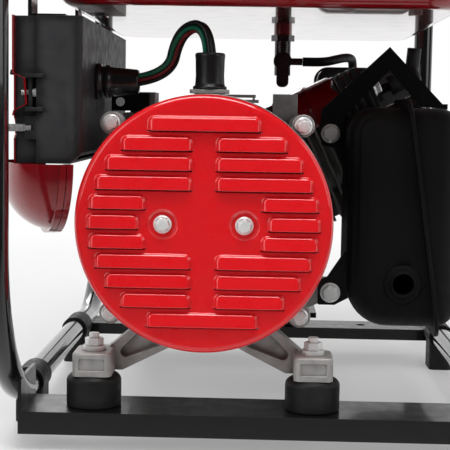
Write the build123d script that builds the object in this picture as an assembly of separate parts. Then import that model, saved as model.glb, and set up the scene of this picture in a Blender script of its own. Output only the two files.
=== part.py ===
from build123d import *
import os
from math import cos, sin, radians, sqrt, tan, pi

# Open-frame generator, millimetres. +Z up, floor at Z 0, the crankshaft along Y.
# -Y is the alternator end, +Y the recoil-starter end, -X the control panel, +X the cylinder head.

# Fits and sheet
fit_gap = 0.05          # radial gap of a shaft or bolt in its own hole
weld_gap = 0.15         # gap left where a coped end meets a round tube
seat_gap = 0.3          # gap between neighbours that are not bolted face to face
bolt_clearance = 0.4    # radial clearance of a bolt in a plain hole
sheet = 1.2             # pressed sheet
plate = 3.0             # bracket plate

# Frame
tube_dia = 22.0
tube_wall = 1.8
frame_length = 620.0
frame_width = 412.0
frame_height = 448.0
rail_height = 35.0
lower_bend = 130.0
upper_bend = 60.0
weep_hole_dia = 5.0
bar_dia = 20.0
bar_inset = 240.0
foot_y = (-150.0, 100.0)
foot_length = 38.0
foot_wall = 2.5
pad_width = 24.0
side_x = (frame_width - tube_dia) / 2
post_y = (frame_length - tube_dia) / 2
top_z = frame_height - tube_dia / 2
tube_r = tube_dia / 2

# Crankshaft axis and cylinder
crank_x = -43.0
crank_z = 181.0
cylinder_y = 48.0
cylinder_tilt = 25.0
bore_dia = 68.0
crank_throw = 27.0
rod_length = 84.0
crown_height = 22.0
journal_dia = 25.0
deck = crank_throw + rod_length + crown_height + 1.5
fin_half_width = 52.0
fin_half_height = 65.0
fin_corner = 31.5
fin_pitch = 8.5
fin_thickness = 2.6
barrel_start = 90.0
head_height = 50.0
valve_cover_height = 42.0

# Alternator
cover_dia = 200.0
cover_depth = 40.0
cover_front = -256.0
rim_radius = 5.0
louvre_pitch = 15.3
louvre_height = 11.0
louvre_rise = 4.0
louvre_rows_each_side = 5
louvre_field_radius = 89.0
louvre_centre_gap = 9.0
bolt_spacing = 63.0
dish_dia = 24.0
dish_depth = 2.0
lug_circle = 217.0
lug_dia = 18.0
bracket_rim = 2.0
bracket_wall = 14.0
foot_spacing = 176.0
leg_foot_low = 57.0
leg_foot_high = 76.0
leg_foot_width = 31.0
leg_foot_depth = 36.0
leg_thickness = 18.0
stator_length = 70.0
stator_dia = 190.0
stator_bore = 121.0
stator_teeth = 18
air_gap = 0.5
magnet_thickness = 6.0
magnet_count = 12
bearing_outer = 52.0
bearing_width = 13.0
ball_count = 8
cover_back = cover_front + cover_depth
stator_front = cover_back + 51.0
stator_back = stator_front + stator_length
bracket_front = stator_back
bracket_depth = 47.0
case_cover_front = bracket_front + bracket_depth + 14.0
case_cover_thickness = 14.0
case_front = case_cover_front + case_cover_thickness
case_back = 2 * cylinder_y - case_front
case_wall = 6.0
hub_dia = 40.0
snout_dia = 20.0
fan_dia = 156.0

# Crankcase outline
case_left = -125.0
case_right = 35.0
case_low = 75.0
case_high = 258.0

# Timing gears
gear_module = 1.5
crank_teeth = 24
cam_teeth = 48
gear_width = 9.0
gear_backlash = 0.35
lobe_offset = 6.0
lobe_width = 9.0
counterweight_r = 45.0
cam_angle = -60.0

# Flywheel end
flywheel_dia = 176.0
blower_dia = 206.0
blower_depth = 69.0
duct_reach = 118.0
duct_depth = 33.0
coil_angle = 138.0
recoil_dia = 164.0
recoil_depth = 50.0
pulley_dia = 96.0
pulley_post_dia = 16.0
rope_dia = 5.0
grip_x = -140.0

# Control side
panel_x = -194.0
panel_sheet = 1.5
panel_y = (-240.0, 60.0)
panel_z = (225.5, 340.0)
box_back_x = -139.5
box_wall = 3.0
box_step_x = -175.0
box_step_depth = 8.0
ground_stud_dia = 6.0
stud_root_dia = 7.0
stud_notch_dia = 18.0
boot_y = -156.0
boot_z = 292.0
boot_length = 36.0
boot_dia = 26.0

# Fuel tank
tank_length = 430.0
tank_width = 340.0
tank_bottom = 352.0
tank_seam = 392.0
tank_top = 425.0
tank_flange = 8.0
tank_sheet = 1.2
cap_dia = 62.0
cap_height = 19.0
filler_x = 10.0
filler_y = -70.0

# Muffler
muffler_left = 77.0
muffler_right = 178.0
muffler_low = 79.0
muffler_high = 276.0
muffler_front = -128.0
muffler_back = -12.0
muffler_sheet = 1.5
muffler_edge = 20.0
rib_angles = (14, 38, 62)
rib_radius = 3.0
rib_rise = 1.2
boss_dia = 32.0
boss_height = 2.2
seam_top_x = 127.0
seam_low_x = 159.0
seam_flange = 9.0
outlet_x = 126.5
outlet_z = 120.5
outlet_dia = 18.4

# Mounts under the machine
mount_height = 26.0
mount_dia = 44.0
shoulder_radius = 6.0
stud_dia = 8.0
rear_member_top = 33.0
rear_member_y = (137.0, 185.0)
rear_mount_y = 161.0
rear_mount_spacing = 150.0
rear_mount_dia = 36.0
base_plate = 5.0

sink = 1.0              # how far a tool reaches past the face that it cuts


# ---------------------------------------------------------------- plain shapes

def block(x0, x1, y0, y1, z0, z1):
    """A box between two corners."""
    return Pos((x0 + x1) / 2, (y0 + y1) / 2, (z0 + z1) / 2) * Box(abs(x1 - x0), abs(y1 - y0), abs(z1 - z0))


def rod_y(x, z, y0, y1, radius):
    """A round bar along Y."""
    return Pos(x, (y0 + y1) / 2, z) * Rot(90, 0, 0) * Cylinder(radius, abs(y1 - y0))


def rod_x(y, z, x0, x1, radius):
    """A round bar along X."""
    return Pos((x0 + x1) / 2, y, z) * Rot(0, 90, 0) * Cylinder(radius, abs(x1 - x0))


def rod_z(x, y, z0, z1, radius):
    """A round bar along Z."""
    return Pos(x, y, (z0 + z1) / 2) * Cylinder(radius, abs(z1 - z0))


def ring_y(x, z, y0, y1, outer, inner):
    """A ring whose axis is along Y."""
    return rod_y(x, z, y0, y1, outer) - rod_y(x, z, y0 - sink, y1 + sink, inner)


def facing_y(sketch, y0, y1):
    """Extrude a sketch drawn in X and Z from y0 to y1."""
    plane = Plane(origin=(0, y1, 0), x_dir=(1, 0, 0), z_dir=(0, -1, 0))
    return extrude(plane * sketch, y1 - y0)


def outline(points, radius=0.0):
    """A closed face through points, its corners rounded."""
    face = make_face(Polyline(*points, close=True))
    if radius:
        face = fillet(face.vertices(), radius)
    return face


def hexagon_y(x, z, y0, y1, across_flats):
    """A hexagonal prism along Y."""
    return facing_y(Pos(x, z) * RegularPolygon(across_flats / 2, 6, major_radius=False), y0, y1)


def hexagon_z(x, y, z0, z1, across_flats):
    """A hexagonal prism along Z."""
    return Pos(x, y, z0) * extrude(RegularPolygon(across_flats / 2, 6, major_radius=False), z1 - z0)


def at_crank(radius, angle):
    """X and Z of a point at a radius and angle around the crankshaft axis."""
    return (crank_x + radius * cos(radians(angle)), crank_z + radius * sin(radians(angle)))


def solids_of(shapes):
    """Every solid in a list of shapes."""
    found = []
    for shape in shapes:
        found.extend(shape.solids())
    return found


def save(name, *shapes):
    """Write one node."""
    export_step(Compound(solids_of(shapes)), "parts/" + name + ".step")


# The cylinder's own frame: X along the crankshaft, Y up across the bore, Z out along the bore.
tilt = radians(cylinder_tilt)
cylinder_plane = Plane(
    origin=(crank_x, cylinder_y, crank_z),
    x_dir=(0, 1, 0),
    z_dir=(cos(tilt), 0, sin(tilt)),
)


def on_cylinder(shape):
    """Place a shape drawn in the cylinder's own frame."""
    return cylinder_plane.location * shape


def bore_block(y0, y1, across0, across1, along0, along1):
    """A box in the cylinder's frame."""
    return on_cylinder(block(y0, y1, across0, across1, along0, along1))


def bore_rod(y, across, along0, along1, radius):
    """A round bar parallel to the bore."""
    return on_cylinder(rod_z(y, across, along0, along1, radius))


# ---------------------------------------------------------------- fasteners

def flange_bolt(x, z, seat_y, tip_y, size=6.0, flange=14.2, flats=10.0, head=7.0):
    """A flange bolt along Y, its head towards -Y of the seat."""
    rim = rod_y(x, z, seat_y - 1.6, seat_y, flange / 2)
    hexagon = hexagon_y(x, z, seat_y - head, seat_y - 1.6, flats)
    shank = rod_y(x, z, seat_y, tip_y, size / 2)
    return rim + hexagon + shank


def flange_nut(x, y, seat_z, size=8.0, flange=17.8, flats=13.0, height=8.0):
    """A flange nut on a vertical stud."""
    body = rod_z(x, y, seat_z, seat_z + 2, flange / 2) + hexagon_z(x, y, seat_z + 2, seat_z + height, flats)
    return body - rod_z(x, y, seat_z - sink, seat_z + height + sink, size / 2 + fit_gap)


# ---------------------------------------------------------------- frame

def hoop(x, radius):
    """One closed tube hoop in the plane of X, with large lower bends and smaller upper ones."""
    low_z = rail_height + lower_bend
    high_z = top_z - upper_bend
    low_y = post_y - lower_bend
    high_y = post_y - upper_bend
    k = sqrt(0.5)
    edges = [
        Line((x, -low_y, rail_height), (x, low_y, rail_height)),
        ThreePointArc(
            (x, low_y, rail_height),
            (x, low_y + lower_bend * k, low_z - lower_bend * k),
            (x, post_y, low_z),
        ),
        Line((x, post_y, low_z), (x, post_y, high_z)),
        ThreePointArc(
            (x, post_y, high_z),
            (x, high_y + upper_bend * k, high_z + upper_bend * k),
            (x, high_y, top_z),
        ),
        Line((x, high_y, top_z), (x, -high_y, top_z)),
        ThreePointArc(
            (x, -high_y, top_z),
            (x, -high_y - upper_bend * k, high_z + upper_bend * k),
            (x, -post_y, high_z),
        ),
        Line((x, -post_y, high_z), (x, -post_y, low_z)),
        ThreePointArc(
            (x, -post_y, low_z),
            (x, -low_y - lower_bend * k, low_z - lower_bend * k),
            (x, -low_y, rail_height),
        ),
    ]
    pieces = [sweep(Plane(origin=edge @ 0, z_dir=edge % 0) * Circle(radius), path=edge) for edge in edges]
    whole = pieces[0]
    for piece in pieces[1:]:
        whole = whole + piece
    return whole


def side_hoop(x):
    """The tube with its hollow and a weep hole under the lower rail."""
    tube = hoop(x, tube_r) - hoop(x, tube_r - tube_wall)
    return tube - rod_z(x, 0, 0, rail_height, weep_hole_dia / 2)


def cope():
    """What a part that is welded to the hoops is cut back by."""
    return hoop(-side_x, tube_r + weld_gap) + hoop(side_x, tube_r + weld_gap)


def top_bars(cutter):
    """Two bars that join the hoops above the tank's ends."""
    bars = []
    for y in (-bar_inset, bar_inset):
        bars.append(rod_x(y, top_z, -side_x, side_x, bar_dia / 2) - cutter)
    return bars


def rail_hanger(side, y, width, foot_z, foot_reach, thickness, cutter):
    """A strap from a top rail down to a foot that turns inward."""
    outer = side_x - tube_r + 2
    upright = block(side * outer, side * (outer - thickness), y - width / 2, y + width / 2, foot_z, top_z)
    foot = block(
        side * outer, side * (outer - foot_reach), y - width / 2, y + width / 2, foot_z - thickness, foot_z
    )
    return (upright + foot) - cutter


def rear_member(cutter):
    """The channel under the engine, with a spare hole and the two mounts' stud holes."""
    y0, y1 = rear_member_y
    depth = 12.0
    top = rear_member_top
    span = side_x - 8
    web = block(-span, span, y0, y1, top - plate, top)
    flanges = block(-span, span, y0, y0 + plate, top - depth, top - plate)
    flanges = flanges + block(-span, span, y1 - plate, y1, top - depth, top - plate)
    member = web + flanges
    for x in rear_mount_x():
        member = member - rod_z(x, rear_mount_y, 0, 2 * top, stud_dia / 2 + bolt_clearance)
    member = member - rod_z(116, rear_mount_y, 0, 2 * top, 5.0)
    return member - cutter


def front_member_top():
    """Top face of the channel under the alternator's feet."""
    return leg_foot_low - mount_height


def front_foot_y():
    """Centre of the alternator's feet along Y."""
    return cover_back - 6


def front_member(cutter):
    """The channel under the alternator's feet."""
    top = front_member_top()
    y = front_foot_y()
    span = side_x - 8
    half = 30.0
    member = block(-span, span, y - half, y + half, top - plate, top)
    for edge in (-1, 1):
        member = member + block(
            -span, span, y + edge * half, y + edge * (half - plate), top - 18, top - plate
        )
        member = member + block(edge * span, edge * (span - plate), y - half, y + half, top - 18, top + 26)
    for x in front_foot_x():
        member = member - rod_z(x, y, 0, 2 * top, stud_dia / 2 + bolt_clearance)
    return member - cutter


def front_foot_x():
    """Centres of the alternator's feet along X."""
    return (crank_x - foot_spacing / 2, crank_x + foot_spacing / 2)


def rear_mount_x():
    """Centres of the engine's rear mounts along X."""
    return (crank_x - rear_mount_spacing / 2, crank_x + rear_mount_spacing / 2)


def rubber_foot(x, y):
    """A moulded foot: a thin sleeve round the lower rail over a narrow pad on the floor."""
    y0 = y - foot_length / 2
    y1 = y + foot_length / 2
    pad = block(x - pad_width / 2, x + pad_width / 2, y0 + 2, y1 - 2, 0, rail_height)
    pad = fillet(pad.edges().filter_by(Axis.Z), 5)
    foot = rod_y(x, rail_height, y0, y1, tube_r + foot_wall) + pad
    return foot - rod_y(x, rail_height, y0 - sink, y1 + sink, tube_r + weld_gap)


def rubber_mount(x, y, low, high, diameter):
    """A bonded rubber mount with rounded shoulders."""
    mount = rod_z(x, y, low, high, diameter / 2)
    mount = fillet(mount.edges().sort_by(Axis.Z)[-1], shoulder_radius)
    mount = fillet(mount.edges().sort_by(Axis.Z)[0], 1.5)
    return mount - rod_z(x, y, low - sink, high + sink, stud_dia / 2 + fit_gap)


def mount_set(x, y, low_plate, low, high, top_of_seat):
    """Stud, washer and nuts of one rubber mount."""
    washer_top = top_of_seat + 1.6
    stud = rod_z(x, y, low_plate - 10, washer_top + 12, stud_dia / 2)
    washer = rod_z(x, y, top_of_seat, washer_top, 9.5)
    washer = washer - rod_z(x, y, top_of_seat - sink, washer_top + sink, stud_dia / 2 + fit_gap)
    lower = rod_z(x, y, low_plate - 8, low_plate, 8.0)
    lower = hexagon_z(x, y, low_plate - 8, low_plate, 13.0)
    lower = lower - rod_z(x, y, low_plate - 9, low_plate + sink, stud_dia / 2 + fit_gap)
    return [stud, washer, flange_nut(x, y, washer_top), lower]


def make_frame():
    """Everything that carries the machine."""
    cutter = cope()
    save("frame_side_left", side_hoop(-side_x))
    save("frame_side_right", side_hoop(side_x))
    bars = top_bars(cutter)
    for side in (-1, 1):
        for y in (-150, 150):
            bars.append(rail_hanger(side, y, 30, tank_seam - tank_tab_drop(), 14, plate, cutter))
    for y in (-205, 32):
        bars.append(rail_hanger(-1, y, 25, panel_z[1] + plate, 30, plate, cutter))
    save("frame_top_bars", *bars)
    save("cross_members", front_member(cutter), rear_member(cutter))
    save("rubber_feet", *[rubber_foot(x, y) for x in (-side_x, side_x) for y in foot_y])
    rubbers = []
    hardware = []
    for x in front_foot_x():
        y = front_foot_y()
        rubbers.append(rubber_mount(x, y, front_member_top(), leg_foot_low, mount_dia))
        hardware += mount_set(
            x, y, front_member_top() - plate, front_member_top(), leg_foot_low, leg_foot_high
        )
    for x in rear_mount_x():
        rubbers.append(
            rubber_mount(x, rear_mount_y, rear_member_top, case_low - base_plate, rear_mount_dia)
        )
        hardware += mount_set(
            x, rear_mount_y, rear_member_top - plate, rear_member_top, case_low - base_plate, case_low
        )
    save("vibration_mounts", *rubbers)
    save("mount_hardware", *hardware)


def tank_tab_drop():
    """How far the tank tabs' top faces lie below the tank's seam."""
    return tank_sheet


# ---------------------------------------------------------------- alternator cover

def louvre_spans():
    """Centre Z offset, left end and right end of every louvre, from the cover's axis."""
    spans = []
    for row in range(-louvre_rows_each_side, louvre_rows_each_side + 1):
        z = row * louvre_pitch
        outer = sqrt(louvre_field_radius ** 2 - (abs(z) + 4) ** 2)
        inner = louvre_centre_gap
        if abs(row) <= 1:
            inner = bolt_spacing / 2 + dish_dia / 2 + 1 + 5 * (1 - abs(row))
        if abs(row) == louvre_rows_each_side:
            spans.append((z, -outer, outer))
        else:
            spans.append((z, -outer, -inner))
            spans.append((z, inner, outer))
    return spans


def louvre_body(z, left, right, shrink):
    """One louvre as a solid wedge, bulging out from the face and cut square at its lower lip."""
    half = louvre_height / 2
    rise = louvre_rise - shrink
    top = half - 1.2 * shrink
    back = 2 * sheet
    points = [(back, top), (0, top)]
    arc = ThreePointArc((0, top), (-rise * 0.8, top - half * 0.75), (-rise, -half))
    section = make_face(Polyline((-rise, -half), (back, -half), *points) + arc)
    plane = Plane(
        origin=(crank_x + left + shrink, cover_front, crank_z + z), x_dir=(0, 1, 0), z_dir=(1, 0, 0)
    )
    body = extrude(plane * section, right - left - 2 * shrink)
    corner = 4.0
    width = right - left - 2 * shrink
    height = 2 * louvre_height
    ends = Pos(crank_x + (left + right) / 2, crank_z + z + top - height / 2) * RectangleRounded(
        width, height, corner
    )
    return body & facing_y(ends, cover_front - 3 * louvre_rise, cover_front + 3 * sheet)


def alternator_cover():
    """The drawn steel end cover: rounded rim, two bolt dishes and rows of louvres."""
    r = cover_dia / 2
    outer = rod_y(crank_x, crank_z, cover_front, cover_back, r)
    outer = fillet(outer.edges().sort_by(Axis.Y)[0], rim_radius)
    inner = rod_y(crank_x, crank_z, cover_front + sheet, cover_back + sink, r - sheet)
    inner = fillet(inner.edges().sort_by(Axis.Y)[0], rim_radius - sheet)
    cover = outer - inner
    for side in (-1, 1):
        x = crank_x + side * bolt_spacing / 2
        cover = cover + rod_y(
            x, crank_z, cover_front + sheet, cover_front + dish_depth + sheet, dish_dia / 2 + sheet
        )
        cover = cover - rod_y(x, crank_z, cover_front - sink, cover_front + dish_depth, dish_dia / 2)
        cover = cover - rod_y(x, crank_z, cover_front, cover_front + 10, 3 + bolt_clearance)
    hoods = []
    slots = []
    for z, left, right in louvre_spans():
        hood = louvre_body(z, left, right, 0.0)
        hoods.append(hood & rod_y(crank_x, crank_z, cover_front - 20, cover_front + sheet, r))
        slots.append(louvre_body(z, left, right, sheet))
    cover = cover + hoods
    return cover - slots


# ---------------------------------------------------------------- alternator

def lug_points():
    """Centres of the four through bolts."""
    return [at_crank(lug_circle / 2, angle) for angle in (45, 135, 225, 315)]


def leg_sketch(side):
    """One splayed leg from the bracket's rim down to its foot."""
    reach = foot_spacing / 2
    half = leg_foot_width / 2
    points = [
        (8, crank_z - cover_dia / 2 + 6),
        (34, leg_foot_low + 16.5),
        (reach - half - 6, leg_foot_low),
        (reach + half - 6, leg_foot_low),
        (reach + half - 6, leg_foot_high - 2),
        (reach - 8, leg_foot_high - 2),
        (30, leg_foot_high + 40),
    ]
    return outline([(crank_x + side * x, z) for x, z in points])


def leg_pocket(side):
    """The rounded triangular pocket in a leg's front."""
    points = [(30, leg_foot_low + 23), (45, leg_foot_low + 41), (81, leg_foot_low + 4)]
    return outline([(crank_x + side * x, z) for x, z in points], 4.4)


def bracket_body():
    """Rim, lugs, legs and feet of the end bracket as one casting."""
    rim_r = cover_dia / 2 + bracket_rim / 2
    front = cover_back
    body = rod_y(crank_x, crank_z, front, stator_front, rim_r)
    for x, z in lug_points():
        lug = rod_y(x, z, front + 4, front + 26, lug_dia / 2)
        body = body + lug
    for side, x in zip((-1, 1), front_foot_x()):
        leg = facing_y(leg_sketch(side), front + 6, front + 6 + leg_thickness)
        y = front_foot_y()
        foot = block(
            x - leg_foot_width / 2, x + leg_foot_width / 2,
            y - leg_foot_depth / 2, y + leg_foot_depth / 2, leg_foot_low, leg_foot_high,
        )
        foot = fillet(foot.edges().filter_by(Axis.Z), 5)
        foot = fillet(foot.faces().sort_by(Axis.Z)[-1].edges(), 2)
        body = body + leg + foot
    return body


def end_bracket():
    """The cast end bracket with bearing hub, windows, cover bosses and a cable outlet on top."""
    front = cover_back
    hub_r = bearing_outer / 2 + 8
    rim_inner = cover_dia / 2 - bracket_wall
    body = bracket_body()
    body = body - rod_y(crank_x, crank_z, front + 18, stator_front + sink, rim_inner)
    core = rod_y(crank_x, crank_z, front - 9, front + 30, hub_r + 6)
    body = body - (rod_y(crank_x, crank_z, front - sink, front + 10, rim_inner) - core)
    body = body + rod_y(crank_x, crank_z, front, front + 26, hub_r)
    for index in range(8):
        angle = 45 * index + 22.5
        window = Pos((hub_r + 6 + rim_inner - 4) / 2, 0) * RectangleRounded(
            rim_inner - 4 - hub_r - 6, 26, 6
        )
        window = Pos(crank_x, crank_z) * Rot(0, 0, angle) * window
        body = body - facing_y(window, front - sink, front + 40)
    for side in (-1, 1):
        x = crank_x + side * bolt_spacing / 2
        boss_front = cover_front + dish_depth + sheet
        body = body + rod_y(x, crank_z, boss_front, front + 18, 7)
        body = body - rod_y(x, crank_z, boss_front - sink, boss_front + 22, 3 + fit_gap)
    seat = front + 4
    body = body - rod_y(crank_x, crank_z, seat, seat + bearing_width, bearing_outer / 2 + fit_gap / 2)
    body = body - rod_y(crank_x, crank_z, front - sink, front + 40, bearing_outer / 2 - 4)
    for x, z in lug_points():
        body = body - rod_y(x, z, front, front + 30, 3 + bolt_clearance)
    for side, x in zip((-1, 1), front_foot_x()):
        y = front_foot_y()
        body = body - rod_z(x, y, leg_foot_low - sink, leg_foot_high + sink, stud_dia / 2 + bolt_clearance)
        body = body - facing_y(leg_pocket(side), front, front + 14)
        panel = Pos(x, (leg_foot_low + leg_foot_high) / 2) * RectangleRounded(leg_foot_width - 10, 10, 1.5)
        body = body - facing_y(panel, y - leg_foot_depth / 2 - sink, y - leg_foot_depth / 2 + 1.2)
    return body + outlet_chimney()


def sleeve_y():
    """Y of the cable outlet on top of the alternator."""
    return cover_back + 38


def chimney_top():
    """Top face of the cable outlet."""
    return crank_z + cover_dia / 2 + 5


def outlet_chimney():
    """The flanged outlet that the cables leave by."""
    y = sleeve_y()
    rim = crank_z + cover_dia / 2
    base = block(crank_x - 12, crank_x + 12, y - 12, y + 12, rim - 8, rim + 2)
    flange = block(crank_x - 16, crank_x + 16, y - 13, y + 13, rim + 2, chimney_top())
    flange = fillet(flange.edges().filter_by(Axis.Z), 4)
    return base + flange - rod_z(crank_x, y, rim - 9, chimney_top() + sink, 8.5)


def stator_core():
    """The laminated ring with its teeth."""
    yoke = ring_y(crank_x, crank_z, stator_front, stator_back, stator_dia / 2, stator_dia / 2 - 13)
    teeth = []
    for index in range(stator_teeth):
        angle = 360 / stator_teeth * index
        inner = stator_bore / 2
        outer = stator_dia / 2 - 12
        tooth = Pos((inner + outer) / 2, 0) * Rectangle(outer - inner + 2, 10)
        teeth.append(facing_y(Pos(crank_x, crank_z) * Rot(0, 0, angle) * tooth, stator_front, stator_back))
    core = yoke + teeth
    return core - rod_y(crank_x, crank_z, stator_front - sink, stator_back + sink, stator_bore / 2)


def stator_coils():
    """One coil around each tooth."""
    coils = []
    inner = stator_bore / 2 + 4
    outer = stator_dia / 2 - 14.5
    for index in range(stator_teeth):
        angle = 360 / stator_teeth * index
        middle = (inner + outer) / 2
        depth = outer - inner
        length = stator_length
        coil = Box(depth, length + 12, 19) - Box(depth + 2, length + seat_gap, 10 + seat_gap)
        place = Pos(crank_x, (stator_front + stator_back) / 2, crank_z) * Rot(0, angle, 0) * Pos(
            middle, 0, 0
        )
        coils.append(place * coil)
    return coils


def rotor_parts():
    """Rotor core, magnets, the long bolt and the inner ring of the end bearing."""
    hub_r = hub_dia / 2
    magnet_out = stator_bore / 2 - air_gap
    core_out = magnet_out - magnet_thickness
    seat = cover_back + 4
    core = ring_y(crank_x, crank_z, stator_front, stator_back, core_out, core_out - 9)
    core = core + rod_y(crank_x, crank_z, stator_front + 28, stator_back - 28, core_out - 4)
    core = core + rod_y(crank_x, crank_z, seat + bearing_width + 5, case_cover_front - 26, hub_r)
    core = core + rod_y(crank_x, crank_z, seat - 4, seat + bearing_width + 5, journal_dia / 2)
    core = core - rod_y(crank_x, crank_z, snout_end(), case_cover_front, snout_dia / 2 + fit_gap / 2)
    core = core - rod_y(crank_x, crank_z, seat - 9, case_cover_front, 4 + bolt_clearance)
    parts = [core, flange_bolt(crank_x, crank_z, seat - 4, snout_end() - seat_gap, 8, 18, 13, 8)]
    for index in range(magnet_count):
        angle = 360 / magnet_count * index
        wedge = outline([(0, 0), (90, -17), (90, 17)])
        wedge = facing_y(
            Pos(crank_x, crank_z) * Rot(0, 0, angle) * wedge, stator_front + 1, stator_back - 1
        )
        shell = ring_y(crank_x, crank_z, stator_front + 1, stator_back - 1, magnet_out, core_out + fit_gap)
        parts.append(shell & wedge)
    shaft_r = journal_dia / 2
    parts.append(
        ring_y(crank_x, crank_z, seat, seat + bearing_width, shaft_r + 4, shaft_r + fit_gap / 2)
    )
    return parts


def snout_end():
    """Where the crankshaft's snout ends inside the rotor hub."""
    return case_cover_front - 66


def outer_bearing(y):
    """Outer ring and balls of one bearing."""
    outer = bearing_outer / 2
    ring = ring_y(crank_x, crank_z, y, y + bearing_width, outer, outer - 4)
    inner = journal_dia / 2 + 4
    ball_r = (outer - 4 - inner) / 2 - 0.08
    parts = [ring]
    for index in range(ball_count):
        x, z = at_crank((outer - 4 + inner) / 2, 360 / ball_count * index)
        parts.append(Pos(x, y + bearing_width / 2, z) * Sphere(ball_r))
    return parts


def inner_ring(y):
    """Inner ring of one main bearing."""
    return ring_y(
        crank_x, crank_z, y, y + bearing_width, journal_dia / 2 + 4, journal_dia / 2 + fit_gap / 2
    )


def alternator_fan():
    """The fan between rotor and engine."""
    back = case_cover_front - 35
    hub_r = hub_dia / 2
    fan = rod_y(crank_x, crank_z, back - 3, back, fan_dia / 2)
    fan = fan + rod_y(crank_x, crank_z, back - 12, back, hub_r + 5)
    for index in range(11):
        blade = Pos(fan_dia / 2 - 22, 0) * Rot(0, 0, 22) * Rectangle(34, 2.4)
        blade = Pos(crank_x, crank_z) * Rot(0, 0, 360 / 11 * index) * blade
        fan = fan + facing_y(blade, back - 13, back - 3)
    return fan - rod_y(crank_x, crank_z, back - 20, back + 4, hub_r + fit_gap)


def adapter_lugs():
    """Centres of the front bracket's own upper lugs."""
    return [at_crank(118, angle) for angle in (57, 123)]


def front_bracket():
    """The casting between stator and engine."""
    rim_r = cover_dia / 2 + bracket_rim / 2
    rim_inner = cover_dia / 2 - bracket_wall + 2
    y0 = bracket_front
    y1 = bracket_front + bracket_depth
    body = rod_y(crank_x, crank_z, y0, y1, rim_r)
    for x, z in lug_points():
        body = body + rod_y(x, z, y0, y0 + 20, lug_dia / 2)
    for x, z in adapter_lugs():
        body = body + block(x - 11, x + 11, y0 + 8, y1, z - 22, z + 5)
    x, z = muffler_low_bolt()
    arm = outline(
        [(20, crank_z - 80), (36, crank_z - 92), (x, z - 9), (x + 9, z), (x, z + 9), (32, crank_z - 60)]
    )
    body = body + facing_y(arm, y0, y0 + 18) + rod_y(x, z, muffler_low_seat(), y0 + 18, 9)
    body = body - rod_y(crank_x, crank_z, y0 - sink, y1 - 8, rim_inner)
    body = body - rod_y(crank_x, crank_z, y1 - 9, y1 + sink, 38)
    for index in range(12):
        slot = Pos(rim_inner + 8, 0) * RectangleRounded(24, 14, 3)
        slot = Pos(crank_x, crank_z) * Rot(0, 0, 30 * index + 15) * slot
        body = body - (facing_y(slot, y0 + 22, y0 + 36) & rod_y(crank_x, crank_z, y0, y1, rim_r + 1))
    for angle in (0, 90, 180, 270):
        x1, z1 = at_crank(60, angle)
        body = body + rod_y(x1, z1, y1 - 4, case_cover_front, 11)
        body = body - rod_y(x1, z1, y1 - 20, case_cover_front + sink, 4 + bolt_clearance)
    for px, pz in lug_points():
        body = body - rod_y(px, pz, y0 - sink, y0 + 24, 3 + fit_gap)
    return body - rod_y(x, z, muffler_low_seat() - sink, y0 + 10, 4 + fit_gap)


def muffler_low_bolt():
    """X and Z of the muffler's lower bolt."""
    return (64.0, 110.0)


def muffler_low_seat():
    """Y where the lower muffler bracket is bolted down."""
    return bracket_front - 17


def muffler_high_bolt():
    """X and Z of the muffler's upper bolt."""
    return (65.0, 250.0)


def muffler_high_seat():
    """Y where the upper muffler bracket is bolted down."""
    return -44.0


def through_bolts():
    """Four long bolts that clamp the stator between its brackets."""
    bolts = []
    for x, z in lug_points():
        bolts.append(flange_bolt(x, z, cover_back + 4, bracket_front + 18))
    return bolts


def make_alternator():
    """Every piece of the alternator."""
    save("alternator_cover", alternator_cover())
    save("end_bracket", end_bracket())
    save("through_bolts", *through_bolts())
    save("stator_core", stator_core())
    save("stator_coils", *stator_coils())
    save("rotor", *rotor_parts())
    save("alternator_fan", alternator_fan())
    save("front_bracket", front_bracket())


# ---------------------------------------------------------------- engine block

def tunnel_across():
    """How far the push rods lie below the bore's axis."""
    distance = gear_module * (crank_teeth + cam_teeth) / 2
    return distance * sin(radians(cylinder_tilt - cam_angle))


def crankcase():
    """Crankcase and cylinder as one casting, with fins, push-rod tunnel and bearing seat."""
    outer = block(case_left, case_right, case_front, case_back, case_low, case_high)
    outer = fillet(outer.edges().filter_by(Axis.Y), 14)
    feet = block(case_left - 8, case_right + 8, case_front + 8, case_back, case_low, case_low + 9)
    body = outer + feet
    body = body + bore_rod(0, 0, 20, deck, bore_dia / 2 + 8)
    count = int((deck - barrel_start) / fin_pitch)
    for index in range(count + 1):
        body = body + fin(deck - fin_thickness - index * fin_pitch)
    tunnel = tunnel_across()
    body = body + bore_block(-20, 20, -tunnel - 10, -bore_dia / 2, 45, deck)
    x, z = muffler_high_bolt()
    body = body + rod_y(x, z, muffler_high_seat(), cylinder_y - 20, 7)
    body = body + filler_boss() + governor_boss()
    cavity = block(
        case_left + case_wall, case_right - case_wall,
        case_front - sink, case_back - case_wall, case_low + case_wall, case_high - case_wall,
    )
    cavity = fillet(cavity.edges().filter_by(Axis.Y), 8)
    body = body - cavity
    body = body - bore_rod(0, 0, 10, deck + sink, bore_dia / 2)
    for y in (-lobe_offset, lobe_offset):
        body = body - bore_rod(y, -tunnel, 20, deck + sink, 5)
    seat = case_back - case_wall
    body = body + rod_y(crank_x, crank_z, case_back - bearing_width - 4, case_back, bearing_outer / 2 + 6)
    body = body - rod_y(crank_x, crank_z, seat - 20, case_back - 3, bearing_outer / 2 + fit_gap / 2)
    body = body - rod_y(crank_x, crank_z, seat - 20, case_back + sink, bearing_outer / 2 - 4)
    body = body - rod_y(x, z, muffler_high_seat() - sink, muffler_high_seat() + 20, 4 + fit_gap)
    body = body - filler_bore()
    gx, gy = governor_pivot()
    body = body - rod_z(gx, gy, case_high, case_high + 13, 4 + fit_gap)
    return body


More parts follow.
